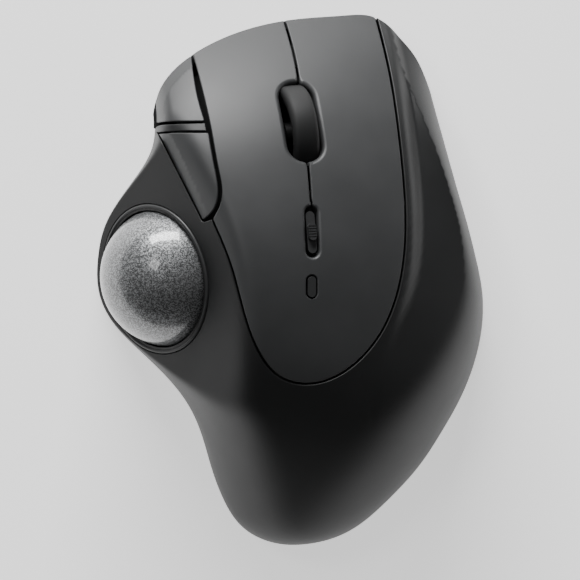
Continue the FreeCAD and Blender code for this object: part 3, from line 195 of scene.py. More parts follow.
print("crest at the middle:", round(float(height_at(-15.0, 0.0)), 2), "mm")

# %% [markdown]
# ## Cutting mouldings out of the skin
#
# Each moulding is the part of the skin inside a closed outline, less its holes. The inside is
# filled with even triangles in sheet coordinates. Along each outline the sheet stops a little
# short, a quarter-round lip turns it over, and a wall goes down from there. A lip of 0.3 mm is
# what a mould leaves, and it is what catches the light along every gap.

# %%
STATION_LENGTH = 8.0
SHEET_WIDTH = 100.0
SHEET_SCALE = np.array([SHEET_WIDTH, STATION_LENGTH])
DOWN = np.array([0.0, 0.0, -1.0])


def spline_points(points, spacing, closed=False):
    """Even points on a smooth plan curve through the given ones."""
    points = np.array(points, float)
    if closed:
        points = np.vstack([points[-3:-1], points, points[1:3]])
    chord = np.concatenate([[0], np.cumsum(np.linalg.norm(np.diff(points, axis=0), axis=1))])
    line_x = smooth_line(list(zip(chord, points[:, 0])))
    line_y = smooth_line(list(zip(chord, points[:, 1])))
    first, last = (chord[2], chord[-3]) if closed else (chord[0], chord[-1])
    ts = np.linspace(first, last, max(int((last - first) / spacing), 2) + 1)
    return np.stack([line_x(ts), line_y(ts)], axis=-1)


def straight_points(a, b, spacing):
    """Even points on a straight plan line, both ends included."""
    count = max(int(math.dist(a, b) / spacing), 1) + 1
    return np.linspace(a, b, count)


def rounded(points, radius, spacing=0.5):
    """A closed run of plan points, resampled evenly, with its corners rounded over."""
    loop = resampled(points, spacing)
    reach = max(int(radius / spacing), 1)
    weights = np.hanning(2 * reach + 3)[1:-1]
    weights /= weights.sum()
    out = np.zeros_like(loop)
    for shift, weight in zip(range(-reach, reach + 1), weights):
        out += weight * np.roll(loop, shift, axis=0)
    return out


def resampled(points, spacing):
    """A closed loop with points evenly spaced along it."""
    points = np.asarray(points, float)
    keep = np.linalg.norm(points - np.roll(points, 1, axis=0), axis=1) > 1e-6
    points = points[keep]
    closed = np.vstack([points, points[:1]])
    run = np.concatenate([[0], np.cumsum(np.linalg.norm(np.diff(closed, axis=0), axis=1))])
    ts = np.linspace(0, run[-1], int(run[-1] / spacing), endpoint=False)
    return np.stack([np.interp(ts, run, closed[:, i]) for i in range(closed.shape[1])], axis=-1)


def stadium_points(centre, length, width, turn, spacing=0.4):
    """A closed run round a slot with two round ends, anticlockwise."""
    half, radius = (length - width) / 2.0, width / 2.0
    angles = np.linspace(0, math.pi, max(int(math.pi * radius / spacing), 8) + 1)
    top = np.stack([radius * np.cos(angles), half + radius * np.sin(angles)], axis=-1)
    loop = resampled(np.vstack([top, -top]), spacing)
    a = math.radians(turn)
    spin = np.array([[math.cos(a), -math.sin(a)], [math.sin(a), math.cos(a)]])
    return loop @ spin.T + np.array(centre)


def inside(points, loop):
    """Which points lie inside a closed loop."""
    x, y = points[:, 0], points[:, 1]
    found = np.zeros(len(points), bool)
    for (ax, ay), (bx, by) in zip(loop, np.roll(loop, -1, axis=0)):
        crosses = (ay > y) != (by > y)
        with np.errstate(divide="ignore", invalid="ignore"):
            at = (bx - ax) * (y - ay) / (by - ay) + ax
        found ^= crosses & (x < at)
    return found


def clearance(points, loop):
    """Distance from points to the nearest side of a closed loop."""
    nearest = np.full(len(points), 1e9)
    for a, b in zip(loop, np.roll(loop, -1, axis=0)):
        side = b - a
        share = np.clip(((points - a) @ side) / max(side @ side, 1e-12), 0, 1)
        gap = np.linalg.norm(points - a - share[:, None] * side, axis=1)
        nearest = np.minimum(nearest, gap)
    return nearest


class Rim:
    """One closed outline of a moulding: its sheet points, its lip and the wall below it."""

    def __init__(self, ut, lip=0.3, wall=2.0, way=DOWN, hole=False, shape=None, floor=None):
        self.ut = np.asarray(ut, float)[::-1] if hole else np.asarray(ut, float)
        self.lip, self.wall, self.way, self.floor = lip, wall, np.asarray(way, float), floor
        self.shape = shape


def rim_rows(rim, surface):
    """The base loop of a rim in sheet units, and the rows of points and normals below it."""
    points, (along_u, along_t, normal) = surface.place(rim.ut), surface.frame(rim.ut)
    tangent = np.roll(points, -1, axis=0) - np.roll(points, 1, axis=0)
    outward = np.cross(tangent, normal)
    outward /= np.maximum(np.linalg.norm(outward, axis=1, keepdims=True), 1e-9)
    lip = np.broadcast_to(np.asarray(rim.lip, float), len(points))[:, None]
    metric = np.stack([along_u, along_t], axis=-1)
    moves = np.stack([np.linalg.lstsq(m, -l * o, rcond=None)[0]
                      for m, l, o in zip(metric, lip, outward)])
    base = rim.ut + moves
    start, (_, _, up) = surface.place(base), surface.frame(base)
    rows = [(start, up)]
    for step in range(1, 5):
        angle = step * math.pi / 8
        bend = lip * math.sin(angle) * outward - lip * (1 - math.cos(angle)) * up
        rows.append((start + bend, math.cos(angle) * up + math.sin(angle) * outward))
    low, side = rows[-1]
    way = np.broadcast_to(rim.way, outward.shape)
    flat = outward - (outward * way).sum(axis=1)[:, None] * way
    flat /= np.maximum(np.linalg.norm(flat, axis=1, keepdims=True), 1e-9)
    bottom = low + rim.wall * way
    if rim.floor is not None:
        grounded = np.isfinite(rim.floor)
        bottom[grounded] = low[grounded]
        bottom[grounded, 2] = np.minimum(rim.floor, low[:, 2])[grounded]
    rows.append((low, flat))
    rows.append((bottom, flat))
    return base, rows


class Surface:
    """The body's skin, with an optional change of height on top."""

    def __init__(self, change=None):
        self.change = change

    def place(self, ut):
        points = to_space(ut)
        if self.change is not None:
            points = points.copy()
            points[..., 2] += self.change(points[..., 0], points[..., 1])
        return points

    def frame(self, ut):
        step = 1e-4
        du, dt = np.array([step, 0.0]), np.array([0.0, step])
        along_u = (self.place(ut + du) - self.place(ut - du)) / (2 * step)
        along_t = (self.place(ut + dt) - self.place(ut - dt)) / (2 * step)
        normal = np.cross(along_u, along_t)
        normal /= np.maximum(np.linalg.norm(normal, axis=-1, keepdims=True), 1e-9)
        return along_u, along_t, normal


def filled(bases, spacing):
    """Even triangles, in sheet units, inside the first loop and outside the others."""
    loops = [b * SHEET_SCALE for b in bases]
    low, high = loops[0].min(0), loops[0].max(0)
    xs = np.arange(low[0], high[0], spacing)
    ys = np.arange(low[1], high[1], spacing * 0.866)
    grid = np.array([(x + (0.5 * spacing if j % 2 else 0.0), y)
                     for j, y in enumerate(ys) for x in xs])
    grid = grid[inside(grid, loops[0])]
    for loop in loops[1:]:
        grid = grid[~inside(grid, loop)]
    for loop in loops:
        grid = grid[clearance(grid, loop) > 0.45 * spacing]
    verts, edges = [], []
    for loop in loops:
        start = len(verts)
        verts += [Vector(p) for p in loop]
        edges += [(start + i, start + (i + 1) % len(loop)) for i in range(len(loop))]
    verts += [Vector(p) for p in grid]
    out, _, faces, _, _, _ = delaunay_2d_cdt(verts, edges, [], 0, 1e-7)
    sheet = np.array([tuple(v) for v in out])
    faces = np.array(faces)
    middles = sheet[faces].mean(axis=1)
    keep = inside(middles, loops[0])
    for loop in loops[1:]:
        keep &= ~inside(middles, loop)
    return sheet / SHEET_SCALE, faces[keep]


def make_mesh(name, points, normals, faces):
    """A smooth mesh in metres whose shading normals are the given ones."""
    mesh = bpy.data.meshes.new(name)
    mesh.from_pydata((np.asarray(points) * MM).tolist(), [], [tuple(map(int, f)) for f in faces])
    mesh.polygons.foreach_set("use_smooth", [True] * len(mesh.polygons))
    mesh.update()
    corner = np.zeros(len(mesh.loops), np.int64)
    mesh.loops.foreach_get("vertex_index", corner)
    mesh.normals_split_custom_set(np.asarray(normals)[corner].tolist())
    obj = bpy.data.objects.new(name, mesh)
    bpy.context.scene.collection.objects.link(obj)
    return obj


def moulding(name, rims, spacing=1.0, surface=None, extra=()):
    """One trimmed piece of skin, with a lip and a wall along each rim."""
    surface = surface or Surface()
    worked = [rim_rows(rim, surface) for rim in rims]
    sheet, faces = filled([w[0] for w in worked], spacing)
    points, normals = [surface.place(sheet)], [surface.frame(sheet)[2]]
    tris = [tuple(f) for f in faces]
    count = len(sheet)
    for _, rows in worked:
        size = len(rows[0][0])
        first = count
        for place, normal in rows:
            points.append(place)
            normals.append(normal)
            count += size
        for r in range(len(rows) - 1):
            if r == len(rows) - 3:
                continue
            a, b = first + r * size, first + (r + 1) * size
            for i in range(size):
                j = (i + 1) % size
                tris.append((a + i, b + i, b + j, a + j))
    for place, normal, strip in extra:
        points.append(place)
        normals.append(normal)
        tris += [tuple(count + k for k in f) for f in strip]
        count += len(place)
    obj = make_mesh(name, np.vstack(points), np.vstack(normals), tris)
    print(f"{name}: {len(obj.data.polygons)} faces")
    return obj

# %% [markdown]
# ## Where the gaps run
#
# The cover plate is one long tongue of plastic. A slot from the front splits it into two fingers,
# so that each cursor button is springy at its root and needs no hinge. The outlines below are
# drawn in plan: the plate, the seam, the wheel's opening, the two thumb buttons and the socket.

# %%
PLATE_LEFT = [(-29.0, 72.0), (-24.4, 56.6), (-21.6, 46.1), (-19.6, 37.1), (-17.9, 28.0),
              (-17.2, 20.0), (-19.4, 15.4)]
PLATE_BODY = [(-19.4, 15.4), (-14.7, 4.0), (-11.6, -7.1), (-7.1, -18.7), (-2.9, -23.6),
              (4.2, -25.7), (11.2, -24.0), (18.8, -18.2), (23.5, -11.6), (26.8, -3.2),
              (28.7, 8.0), (28.5, 25.3), (27.1, 39.4), (25.5, 50.9), (20.7, 72.0)]
SEAM = [(5.7, 5.0), (5.4, 17.0), (4.5, 29.8), (3.4, 40.0), (1.6, 54.5), (-1.1, 65.3),
        (-4.6, 76.0)]
FORWARD_SIDE = [(-21.4, 40.0), (-23.3, 46.4), (-24.9, 55.4), (-28.0, 70.0)]
BACK_SIDE = [(-21.9, 15.0), (-18.9, 18.2), (-18.1, 22.5), (-19.0, 29.0), (-20.4, 37.1)]
BACK_CORNER = (-33.2, 37.1)
FLEX_LINE = 19.75
GAP, FINE = 0.5, 0.4
WHEEL_TURN = (Matrix.Rotation(math.radians(6.0), 3, "Z") @ Matrix.Rotation(math.radians(15.0), 3, "Y")
              @ Matrix.Rotation(math.radians(-22.0), 3, "X"))
WHEEL_X, WHEEL_Y, WHEEL_Z = np.array(WHEEL_TURN).T
WHEEL_TOP = np.array([2.9, 40.4, float(height_at(2.9, 40.4))])
WHEEL_CENTRE = WHEEL_TOP - 8.6 * WHEEL_Z


def slot_over_wheel(length, width, turn):
    """Where a round-ended cutter, square to the wheel, meets the skin, seen in plan."""
    loop = stadium_points((0, 0), length, width, turn)
    flat = WHEEL_TOP + loop[:, :1] * WHEEL_X + loop[:, 1:] * WHEEL_Y
    slide = np.zeros(len(flat))
    for _ in range(12):
        at = flat + slide[:, None] * WHEEL_Z
        slide += 0.7 * (height_at(at[:, 0], at[:, 1]) - at[:, 2])
    return (flat + slide[:, None] * WHEEL_Z)[:, :2]


WHEEL_SLOT = resampled(slot_over_wheel(22.8, 9.2, -3.0), 0.4)
SLIDER_SLOT = stadium_points((5.6, 12.2), 13.0, 3.3, 2.0)
PILL_HOLE = stadium_points((5.5, -1.6), 5.9, 2.8, 0.0, 0.25)

front = spline_points(FRONT_LINE, FINE)
plate_left = spline_points(PLATE_LEFT, FINE)
plate_body = spline_points(PLATE_BODY, FINE)
seam = spline_points(SEAM, FINE)


def shifted(points, distance):
    """An open run moved to its right-hand side."""
    points = np.asarray(points, float)
    way = np.gradient(points, axis=0)
    way /= np.linalg.norm(way, axis=1, keepdims=True)
    return points + distance * np.stack([way[:, 1], -way[:, 0]], axis=-1)


def meeting(a, b):
    """Indices of the nearest points of two runs, which is where they cross."""
    gaps = np.linalg.norm(a[:, None] - b[None], axis=2)
    return np.unravel_index(gaps.argmin(), gaps.shape)


def upto(a, b):
    """The start of run a, as far as its crossing with run b."""
    return a[: meeting(a, b)[0] + 1]


def between(line, first, second):
    """The part of a run between its crossings with two others, in that order."""
    i, j = meeting(line, first)[0], meeting(line, second)[0]
    return line[i:j + 1] if i <= j else line[j:i + 1][::-1]


def detour(line, loop, left):
    """An open run that goes round a closed loop instead of through it."""
    within = np.nonzero(inside(line, loop))[0]
    if not len(within):
        return line
    enter, leave = line[within[0]], line[within[-1]]
    i = np.linalg.norm(loop - enter, axis=1).argmin()
    j = np.linalg.norm(loop - leave, axis=1).argmin()
    size = len(loop)
    ways = [loop[np.arange(i, i + (j - i) % size + 1) % size],
            loop[np.arange(i, i - (i - j) % size - 1, -1) % size]]
    ways.sort(key=lambda w: w[:, 0].mean())
    way = ways[0] if left else ways[1]
    return np.vstack([line[:within[0]], way, line[within[-1] + 1:]])


def near(points, loop, reach):
    """1 on a loop, falling to 0 at reach from it."""
    return np.clip(1.5 - clearance(points, loop) / reach, 0.0, 1.0)


def smoothed(values, reach):
    """A closed run of values, averaged with its neighbours."""
    weights = np.hanning(2 * reach + 3)[1:-1]
    weights /= weights.sum()
    return sum(w * np.roll(values, s) for w, s in zip(weights, range(-reach, reach + 1)))


def plate_lip(plan):
    """Lip radius round a cover piece: wide at the wheel, less at the slot, none at the root."""
    lip = 0.35 + 0.85 * near(plan, WHEEL_SLOT, 0.6) + 0.45 * near(plan, SLIDER_SLOT, 0.5)
    lip = np.where(np.abs(plan[:, 1] - FLEX_LINE) < 0.35, 0.0, lip)
    return np.maximum(smoothed(lip, 2) * (np.abs(plan[:, 1] - FLEX_LINE) > 0.3), 0.0)


def skin_normal(x, y, step=1.0):
    """The way out of the skin over a plan point."""
    across = float(height_at(x + step, y) - height_at(x - step, y)) / (2 * step)
    along = float(height_at(x, y + step) - height_at(x, y - step)) / (2 * step)
    out = np.array([-across, -along, 1.0])
    return out / np.linalg.norm(out)


def plate_way(plan):
    """Which way a cover piece's edge goes down: square to the wheel and to the slider there."""
    wheel = near(plan, WHEEL_SLOT, 0.6)[:, None]
    slider = near(plan, SLIDER_SLOT, 0.5)[:, None]
    way = (DOWN * (1 - wheel) * (1 - slider) - wheel * WHEEL_Z
           - slider * skin_normal(5.6, 12.2))
    return way / np.linalg.norm(way, axis=1, keepdims=True)


def cover_button(name, left):
    """One cursor button: from the seam out to the plate's edge, trimmed by the front."""
    side = -1 if left else 1
    line = shifted(seam, side * GAP / 2)
    line = upto(line, front)
    line = line[line[:, 1] > FLEX_LINE]
    line = detour(line, WHEEL_SLOT, left)
    edge = np.vstack([plate_left, plate_body[1:]]) if left else plate_body[::-1]
    root = edge[np.nonzero(edge[:, 1] < FLEX_LINE)[0][0]]
    edge = edge[meeting(edge, front)[0]:]
    edge = edge[: np.nonzero(edge[:, 1] < FLEX_LINE)[0][0]]
    ends = sorted([meeting(front, edge)[0], meeting(front, line)[0]])
    nose = front[ends[0]:ends[1] + 1]
    root_line = straight_points((line[0, 0], FLEX_LINE), (root[0], FLEX_LINE), FINE)
    if left:
        loop = np.vstack([line, nose[::-1], edge, root_line[::-1]])
    else:
        loop = np.vstack([line[::-1], root_line, edge[::-1], nose[::-1]])
    loop = rounded(loop, 0.6)
    pinned = np.abs(loop[:, 1] - FLEX_LINE) < 0.3
    loop[pinned, 1] = FLEX_LINE
    return moulding(name, [Rim(to_sheet(*loop.T), plate_lip(loop), 2.2, plate_way(loop))])


left_button = cover_button("left_button_skin", True)
right_button = cover_button("right_button_skin", False)

cover_edge = np.vstack([plate_left, plate_body[1:]])
rear = cover_edge[cover_edge[:, 1] < FLEX_LINE]
middle = np.interp(FLEX_LINE, seam[:, 1], seam[:, 0])
round_slot = np.roll(SLIDER_SLOT, -SLIDER_SLOT[:, 1].argmax(), axis=0)[::-1]
round_slot = round_slot[(np.abs(round_slot[:, 0] - middle) > GAP / 2) | (round_slot[:, 1] < 12.2)]
slit_right, slit_left = (middle + GAP / 2, FLEX_LINE), (middle - GAP / 2, FLEX_LINE)
tongue_loop = np.vstack([
    rear, straight_points(rear[-1], slit_right, FINE), round_slot,
    straight_points(slit_left, (rear[0][0], FLEX_LINE), FINE)])
tongue_loop[[0, len(rear) - 1], 1] = FLEX_LINE
tongue_loop = rounded(tongue_loop, 0.5, 0.35)
tongue_loop[np.abs(tongue_loop[:, 1] - FLEX_LINE) < 0.3, 1] = FLEX_LINE
tongue = moulding("cover_tongue_skin", [
    Rim(to_sheet(*tongue_loop.T), plate_lip(tongue_loop), 2.2, plate_way(tongue_loop)),
    Rim(to_sheet(*PILL_HOLE.T), 0.35, 1.6, hole=True)])

# %% [markdown]
# ## The black shell
#
# The shell is one moulding: palm, thumb slope and the stepped wing at the right. Its outline
# runs up the right edge, across the front, back round the cover plate and out round the thumb
# buttons. A steel tool splits at the widest line, so the shell's flank goes straight down to it.

# %%
EDGE_U = 0.002
OUTLINE_STEP = 0.08


def outline_run(side, first, last):
    """Sheet points along the left (0) or right (1) edge of the body between two stations."""
    ts = np.linspace(first, last, int(abs(last - first) / OUTLINE_STEP) + 1)
    return np.stack([np.full(len(ts), abs(side - EDGE_U)), ts], axis=-1)


def station_of(y):
    return float(np.interp(y, TABLE_Y, TABLE_T))


def plan_run(points):
    """Sheet points over a run of plan points, kept just inside the edges."""
    ut = to_sheet(*np.asarray(points, float).T)
    ut[:, 0] = np.clip(ut[:, 0], EDGE_U, 1.0 - EDGE_U)
    return ut


def corners_run(corners, spacing=0.45):
    """Even plan points along straight sides."""
    parts = [straight_points(a, b, spacing)[:-1] for a, b in zip(corners, corners[1:])]
    return np.vstack(parts + [[corners[-1]]])


plate_gap_line = shifted(plate_body, GAP)[::-1]
start, nose_end = meeting(plate_gap_line, front)
plate_gap_line = plate_gap_line[start:]
tip = np.array([-22.26, 14.82])
thumb_line = corners_run([plate_gap_line[-1], (-21.6, 14.62), tip, (-33.86, 37.5), (-20.9, 37.5),
                          (-21.3, 39.55), (-34.9, 39.15)])
front_right = front[nose_end:][::-1]
parts = [
    (outline_run(1, 0.05, station_of(front_right[0][1])), 0.0, 5.0),
    (plan_run(front_right), 0.3, 5.0),
    (plan_run(plate_gap_line), 0.3, np.nan),
    (plan_run(thumb_line), 0.3, np.nan),
    (outline_run(0, station_of(39.15), 0.05), 0.0, 5.0),
]
shell_ut = np.vstack([p[0] for p in parts])
shell_lip = smoothed(np.concatenate([np.full(len(p[0]), p[1]) for p in parts]), 2)
shell_floor = np.concatenate([np.full(len(p[0]), p[2]) for p in parts])
fresh = np.linalg.norm((shell_ut - np.roll(shell_ut, 1, axis=0)) * SHEET_SCALE, axis=1) > 0.12
SOCKET_HOLE = 20.05


def socket_loop(count=220):
    """Where the shell's skin is a ball's clearance away from the ball's centre."""
    middle = (BALL + SOCKET_RISE * SOCKET_NORMAL)[:2]
    angles = np.linspace(0, 2 * math.pi, count, endpoint=False)
    ways = np.stack([np.cos(angles), np.sin(angles)], axis=-1)
    low, high = np.full(count, 4.0), np.full(count, 24.0)
    for _ in range(40):
        reach = (low + high) / 2
        at = to_space(plan_run(middle + reach[:, None] * ways))
        far = np.linalg.norm(at - BALL, axis=1) > SOCKET_HOLE
        low, high = np.where(far, low, reach), np.where(far, reach, high)
    return plan_run(middle + low[:, None] * ways)


shell = moulding("main_shell_skin", [
    Rim(shell_ut[fresh], shell_lip[fresh], 2.0, floor=shell_floor[fresh]),
    Rim(socket_loop(), 0.3, 2.0, -SOCKET_NORMAL, hole=True)], 0.9)

# The two thumb buttons. The forward one has a bevelled edge at the outside; the back one has a
# crease, with a facet that turns down towards the thumb.
forward_side = spline_points(FORWARD_SIDE, FINE)
back_side = spline_points(BACK_SIDE, FINE)
BUTTON_FLANK = 24.0
FACET_FALL, BEVEL_FALL, BEVEL_WIDTH = 0.45, 0.6, 2.6
CREASE = [(-29.9, 36.5), (-24.1, 24.4), (-20.6, 16.1)]


def flank_point(y):
    """Plan point where the left flank reaches the forward button's lower edge."""
    low, high = EDGE_U, 0.3
    for _ in range(40):
        middle = (low + high) / 2
        if to_space(np.array([middle, station_of(y)]))[2] < BUTTON_FLANK:
            low = middle
        else:
            high = middle
    return to_space(np.array([high, station_of(y)]))[:2]


def beside(points, line):
    """Signed distance of plan points to the left of an open line."""
    points = np.asarray(points, float)
    line = spline_points(line, 1.0)
    nearest, sign = np.full(points.shape[:-1], 1e9), np.ones(points.shape[:-1])
    for a, b in zip(line, line[1:]):
        side = b - a
        share = np.clip(((points - a) @ side) / (side @ side), 0, 1)
        offset = points - a - share[..., None] * side
        gap = np.linalg.norm(offset, axis=-1)
        turn = np.sign(side[0] * offset[..., 1] - side[1] * offset[..., 0])
        closer = gap < nearest
        nearest, sign = np.where(closer, gap, nearest), np.where(closer, turn, sign)
    return nearest * sign


def facet(x, y):
    """The back button's facet falls away on the thumb's side of the crease."""
    return -FACET_FALL * np.maximum(-beside(np.stack([x, y], axis=-1), CREASE), 0.0)


flank_line = np.array([flank_point(y) for y in np.arange(40.0, 41.9, 0.45)])
nose = front[(front[:, 1] > 42.0)]
nose = nose[: meeting(nose, forward_side)[0] + 1]
forward_edge = np.vstack([flank_line, nose])


def bevelled(x, y):
    """The forward button's outer edge is bevelled."""
    reach = np.abs(beside(np.stack([x, y], axis=-1), forward_edge[::3]))
    return -BEVEL_FALL * np.maximum(BEVEL_WIDTH - reach, 0.0)


inner = forward_side[: meeting(forward_side, front)[0] + 1]
forward_loop = np.vstack([corners_run([flank_line[0], inner[0]]), inner[1:], nose[::-1][1:],
                          flank_line[::-1][:-1]])
forward_loop = rounded(forward_loop, 0.5, 0.4)
lowest = np.minimum(height_at(*forward_loop.T) - 2.5, BUTTON_FLANK)
outer_side = np.abs(beside(forward_loop, forward_edge)) < 0.8
forward_floor = np.where(outer_side, lowest, np.nan)
forward_skin = moulding("forward_button_skin", [
    Rim(plan_run(forward_loop), 0.3, 2.4, floor=forward_floor)], 0.7, Surface(bevelled))
back_loop = np.vstack([back_side, corners_run([back_side[-1], BACK_CORNER, back_side[0]])[1:-1]])
back_skin = moulding("back_button_skin", [
    Rim(plan_run(rounded(back_loop, 0.6, 0.4)), 0.35, 2.4)], 0.6, Surface(facet))

# The front of the shell stands upright under the buttons' noses.
FORWARD_LEDGE, NOSE_ROOM, FRONT_WALL = 22.8, 4.2, 2.0


def front_wall(name):
    """An upright wall along the front line, with a small radius on its top edge."""
    flank = to_space(outline_run(0, station_of(38.9), station_of(41.6)))[:, :2]
    path = np.vstack([flank, front[front[:, 1] > 42.0][: nose_end]])
    path = path[path[:, 0] < front[nose_end, 0]]
    ways = np.gradient(path, axis=0)
    ways /= np.linalg.norm(ways, axis=1, keepdims=True)
    out = np.stack([-ways[:, 1], ways[:, 0], np.zeros(len(path))], axis=-1)
    top = np.minimum(height_at(*path.T) - NOSE_ROOM, 60.0)
    side = -24.9 - 0.2 * (path[:, 1] - 55.4)
    top = np.where(path[:, 0] < side, FORWARD_LEDGE, top)
    up, soft = np.array([0, 0, 1.0]), 0.3
    base = np.column_stack([path, top])
    profile = [(0.0, None, 0.0), (0.0, -soft, 0.0), (-0.1, -0.1, 45.0), (-soft, 0.0, 90.0),
               (-FRONT_WALL, 0.0, 90.0), (-FRONT_WALL, None, 180.0)]
    points, normals, faces = [], [], []
    for shift, drop, lean in profile:
        row = base + shift * out
        row[:, 2] = PARTING if drop is None else row[:, 2] + drop
        angle = math.radians(lean)
        points.append(row)
        normals.append(math.cos(angle) * out + math.sin(angle) * up)
    size = len(path)
    for r in range(len(profile) - 1):
        for i in range(size - 1):
            a, b = r * size + i, (r + 1) * size + i
            faces.append((a, b, b + 1, a + 1))
    return make_mesh(name, np.vstack(points), np.vstack(normals), faces)


nose_wall = front_wall("front_wall_skin")


def gap_ledge(name, depth=4.0, thick=1.0, into=2.2):
    """The ledge that runs under the cover's gap, so that no light comes up through it."""
    path = np.vstack([plate_left, plate_body[1:]])
    path = path[path[:, 1] < 52.0]
    out = np.where((path[:, 0] < 0) & (path[:, 1] > 15.0), 2.0, 0.8)
    way = np.gradient(path, axis=0)
    way /= np.linalg.norm(way, axis=1, keepdims=True)
    aside = np.stack([way[:, 1], -way[:, 0]], axis=-1)
    profile = [(1, 0, (0, 1)), (0, 0, (0, 1)), (0, 0, (-1, 0)), (0, 1, (-1, 0)), (0, 1, (0, -1)),
               (1, 1, (0, -1))]
    points, normals, faces = [], [], []
    for outer, under, (sideways, upward) in profile:
        plan = path + aside * (out if outer else np.full(len(path), -into))[:, None]
        points.append(np.column_stack([plan, height_at(*plan.T) - depth - thick * under]))
        normals.append(np.column_stack([aside * sideways, np.full(len(path), float(upward))]))
    size = len(path)
    for r in (0, 2, 4):
        for i in range(size - 1):
            a, b = r * size + i, (r + 1) * size + i
            faces.append((a, a + 1, b + 1, b))
    return make_mesh(name, np.vstack(points), np.vstack(normals), faces)


ledge = gap_ledge("gap_ledge_skin")

# %% [markdown]
# ## Things turned about an axis
#
# A lathe needs one profile and one axis. The ball's rim, the tyre and the hub are made this way.
# Each profile is a closed run, so the piece is solid and its seam is shared.

# %%
def lathe(name, profile, centre, axis, steps=160, sharp=40.0):
    """A piece of revolution: profile is a closed run of (radius, height along the axis)."""
    axis = np.array(axis) / np.linalg.norm(axis)
    side = np.cross(axis, [0.3, 0.1, 0.95])
    side /= np.linalg.norm(side)
    third = np.cross(axis, side)
    mesh = bmesh.new()
    rings = []
    for radius, height in profile:
        ring = []
        for i in range(steps):
            angle = 2 * math.pi * i / steps
            out = math.cos(angle) * side + math.sin(angle) * third
            ring.append(mesh.verts.new((centre + axis * height + out * radius) * MM))
        rings.append(ring)
    for a, b in zip(rings, rings[1:] + rings[:1]):
        for i in range(steps):
            j = (i + 1) % steps
            mesh.faces.new((a[i], a[j], b[j], b[i]))
    bmesh.ops.recalc_face_normals(mesh, faces=mesh.faces)
    for edge in mesh.edges:
        edge.smooth = edge.calc_face_angle(0.0) < math.radians(sharp)
    for face in mesh.faces:
        face.smooth = True
    data = bpy.data.meshes.new(name)
    mesh.to_mesh(data)
    mesh.free()
    obj = bpy.data.objects.new(name, data)
    bpy.context.scene.collection.objects.link(obj)
    print(f"{name}: {len(data.polygons)} faces")
    return obj


def arc(centre, radius, start, end, steps=6):
    """Points of a profile's round corner, angles in degrees."""
    angles = np.radians(np.linspace(start, end, steps))
    return [(centre[0] + radius * math.cos(a), centre[1] + radius * math.sin(a)) for a in angles]


TYRE_RADIUS, TYRE_BORE, TYRE_HALF = 12.46, 10.14, 3.28
tyre_profile = ([(TYRE_BORE, -TYRE_HALF)] + arc((10.9, -TYRE_HALF + 1.5), 1.5, -90, -12, 7)
                + [(TYRE_RADIUS - 0.04, -0.8), (TYRE_RADIUS, 0.0), (TYRE_RADIUS - 0.04, 0.8)]
                + arc((10.9, TYRE_HALF - 1.5), 1.5, 12, 90, 7) + [(TYRE_BORE, TYRE_HALF)])
tyre = lathe("tyre_skin", tyre_profile, WHEEL_CENTRE, WHEEL_X, 220)
hub = lathe("hub_skin", [
    (1.24, -3.0), (3.0, -3.0), (3.2, -2.8), (3.2, -1.2), (8.4, -1.2), (8.5, -2.9), (10.1, -3.0),
    (10.1, 3.0), (8.5, 2.9), (8.4, 1.2), (3.2, 1.2), (3.2, 2.8), (3.0, 3.0), (1.24, 3.0)],
    WHEEL_CENTRE, WHEEL_X, 120, 25.0)
rim = lathe("ball_rim", [(18.0, 4.4), (18.05, 5.3), (18.3, 5.72), (18.75, 5.82), (19.1, 5.6),
                         (19.2, 5.1), (19.2, 4.4)],
            BALL, SOCKET_NORMAL, 240, 60.0)

ball_mesh = bmesh.new()
bmesh.ops.create_icosphere(ball_mesh, subdivisions=6, radius=17.99 * MM)
bmesh.ops.translate(ball_mesh, verts=ball_mesh.verts, vec=Vector(BALL * MM))
for face in ball_mesh.faces:
    face.smooth = True
ball_data = bpy.data.meshes.new("ball_skin")
ball_mesh.to_mesh(ball_data)
ball_mesh.free()
ball = bpy.data.objects.new("ball_skin", ball_data)
bpy.context.scene.collection.objects.link(ball)

# %% [markdown]
# ## Writing finishes as sums
#
# A finish is a node tree, but it reads best as a formula. `Value` wraps a shader socket so that
# plain sums build the maths nodes. `Finish` holds one material and makes any other node.

# %%
class Value:
    """A number in a shader, which can be used in sums."""

    def __init__(self, finish, socket):
        self.finish, self.socket = finish, socket

    def sum(self, operation, first, second=0.0):
        return self.finish.node("ShaderNodeMath", {"operation": operation}, {0: first, 1: second})

    def __add__(self, other):
        return self.sum("ADD", self, other)

    def __mul__(self, other):
        return self.sum("MULTIPLY", self, other)

    def __sub__(self, other):
        return self.sum("SUBTRACT", self, other)

    def __rsub__(self, other):
        return self.sum("SUBTRACT", other, self)

    def __truediv__(self, other):
        return self.sum("DIVIDE", self, other)

    __radd__, __rmul__ = __add__, __mul__

    def above(self, low, high):
        """0 under low, 1 over high, and smooth between."""
        return self.finish.node("ShaderNodeMapRange", {"interpolation_type": "SMOOTHSTEP"},
                                {"Value": self, "From Min": low, "From Max": high})


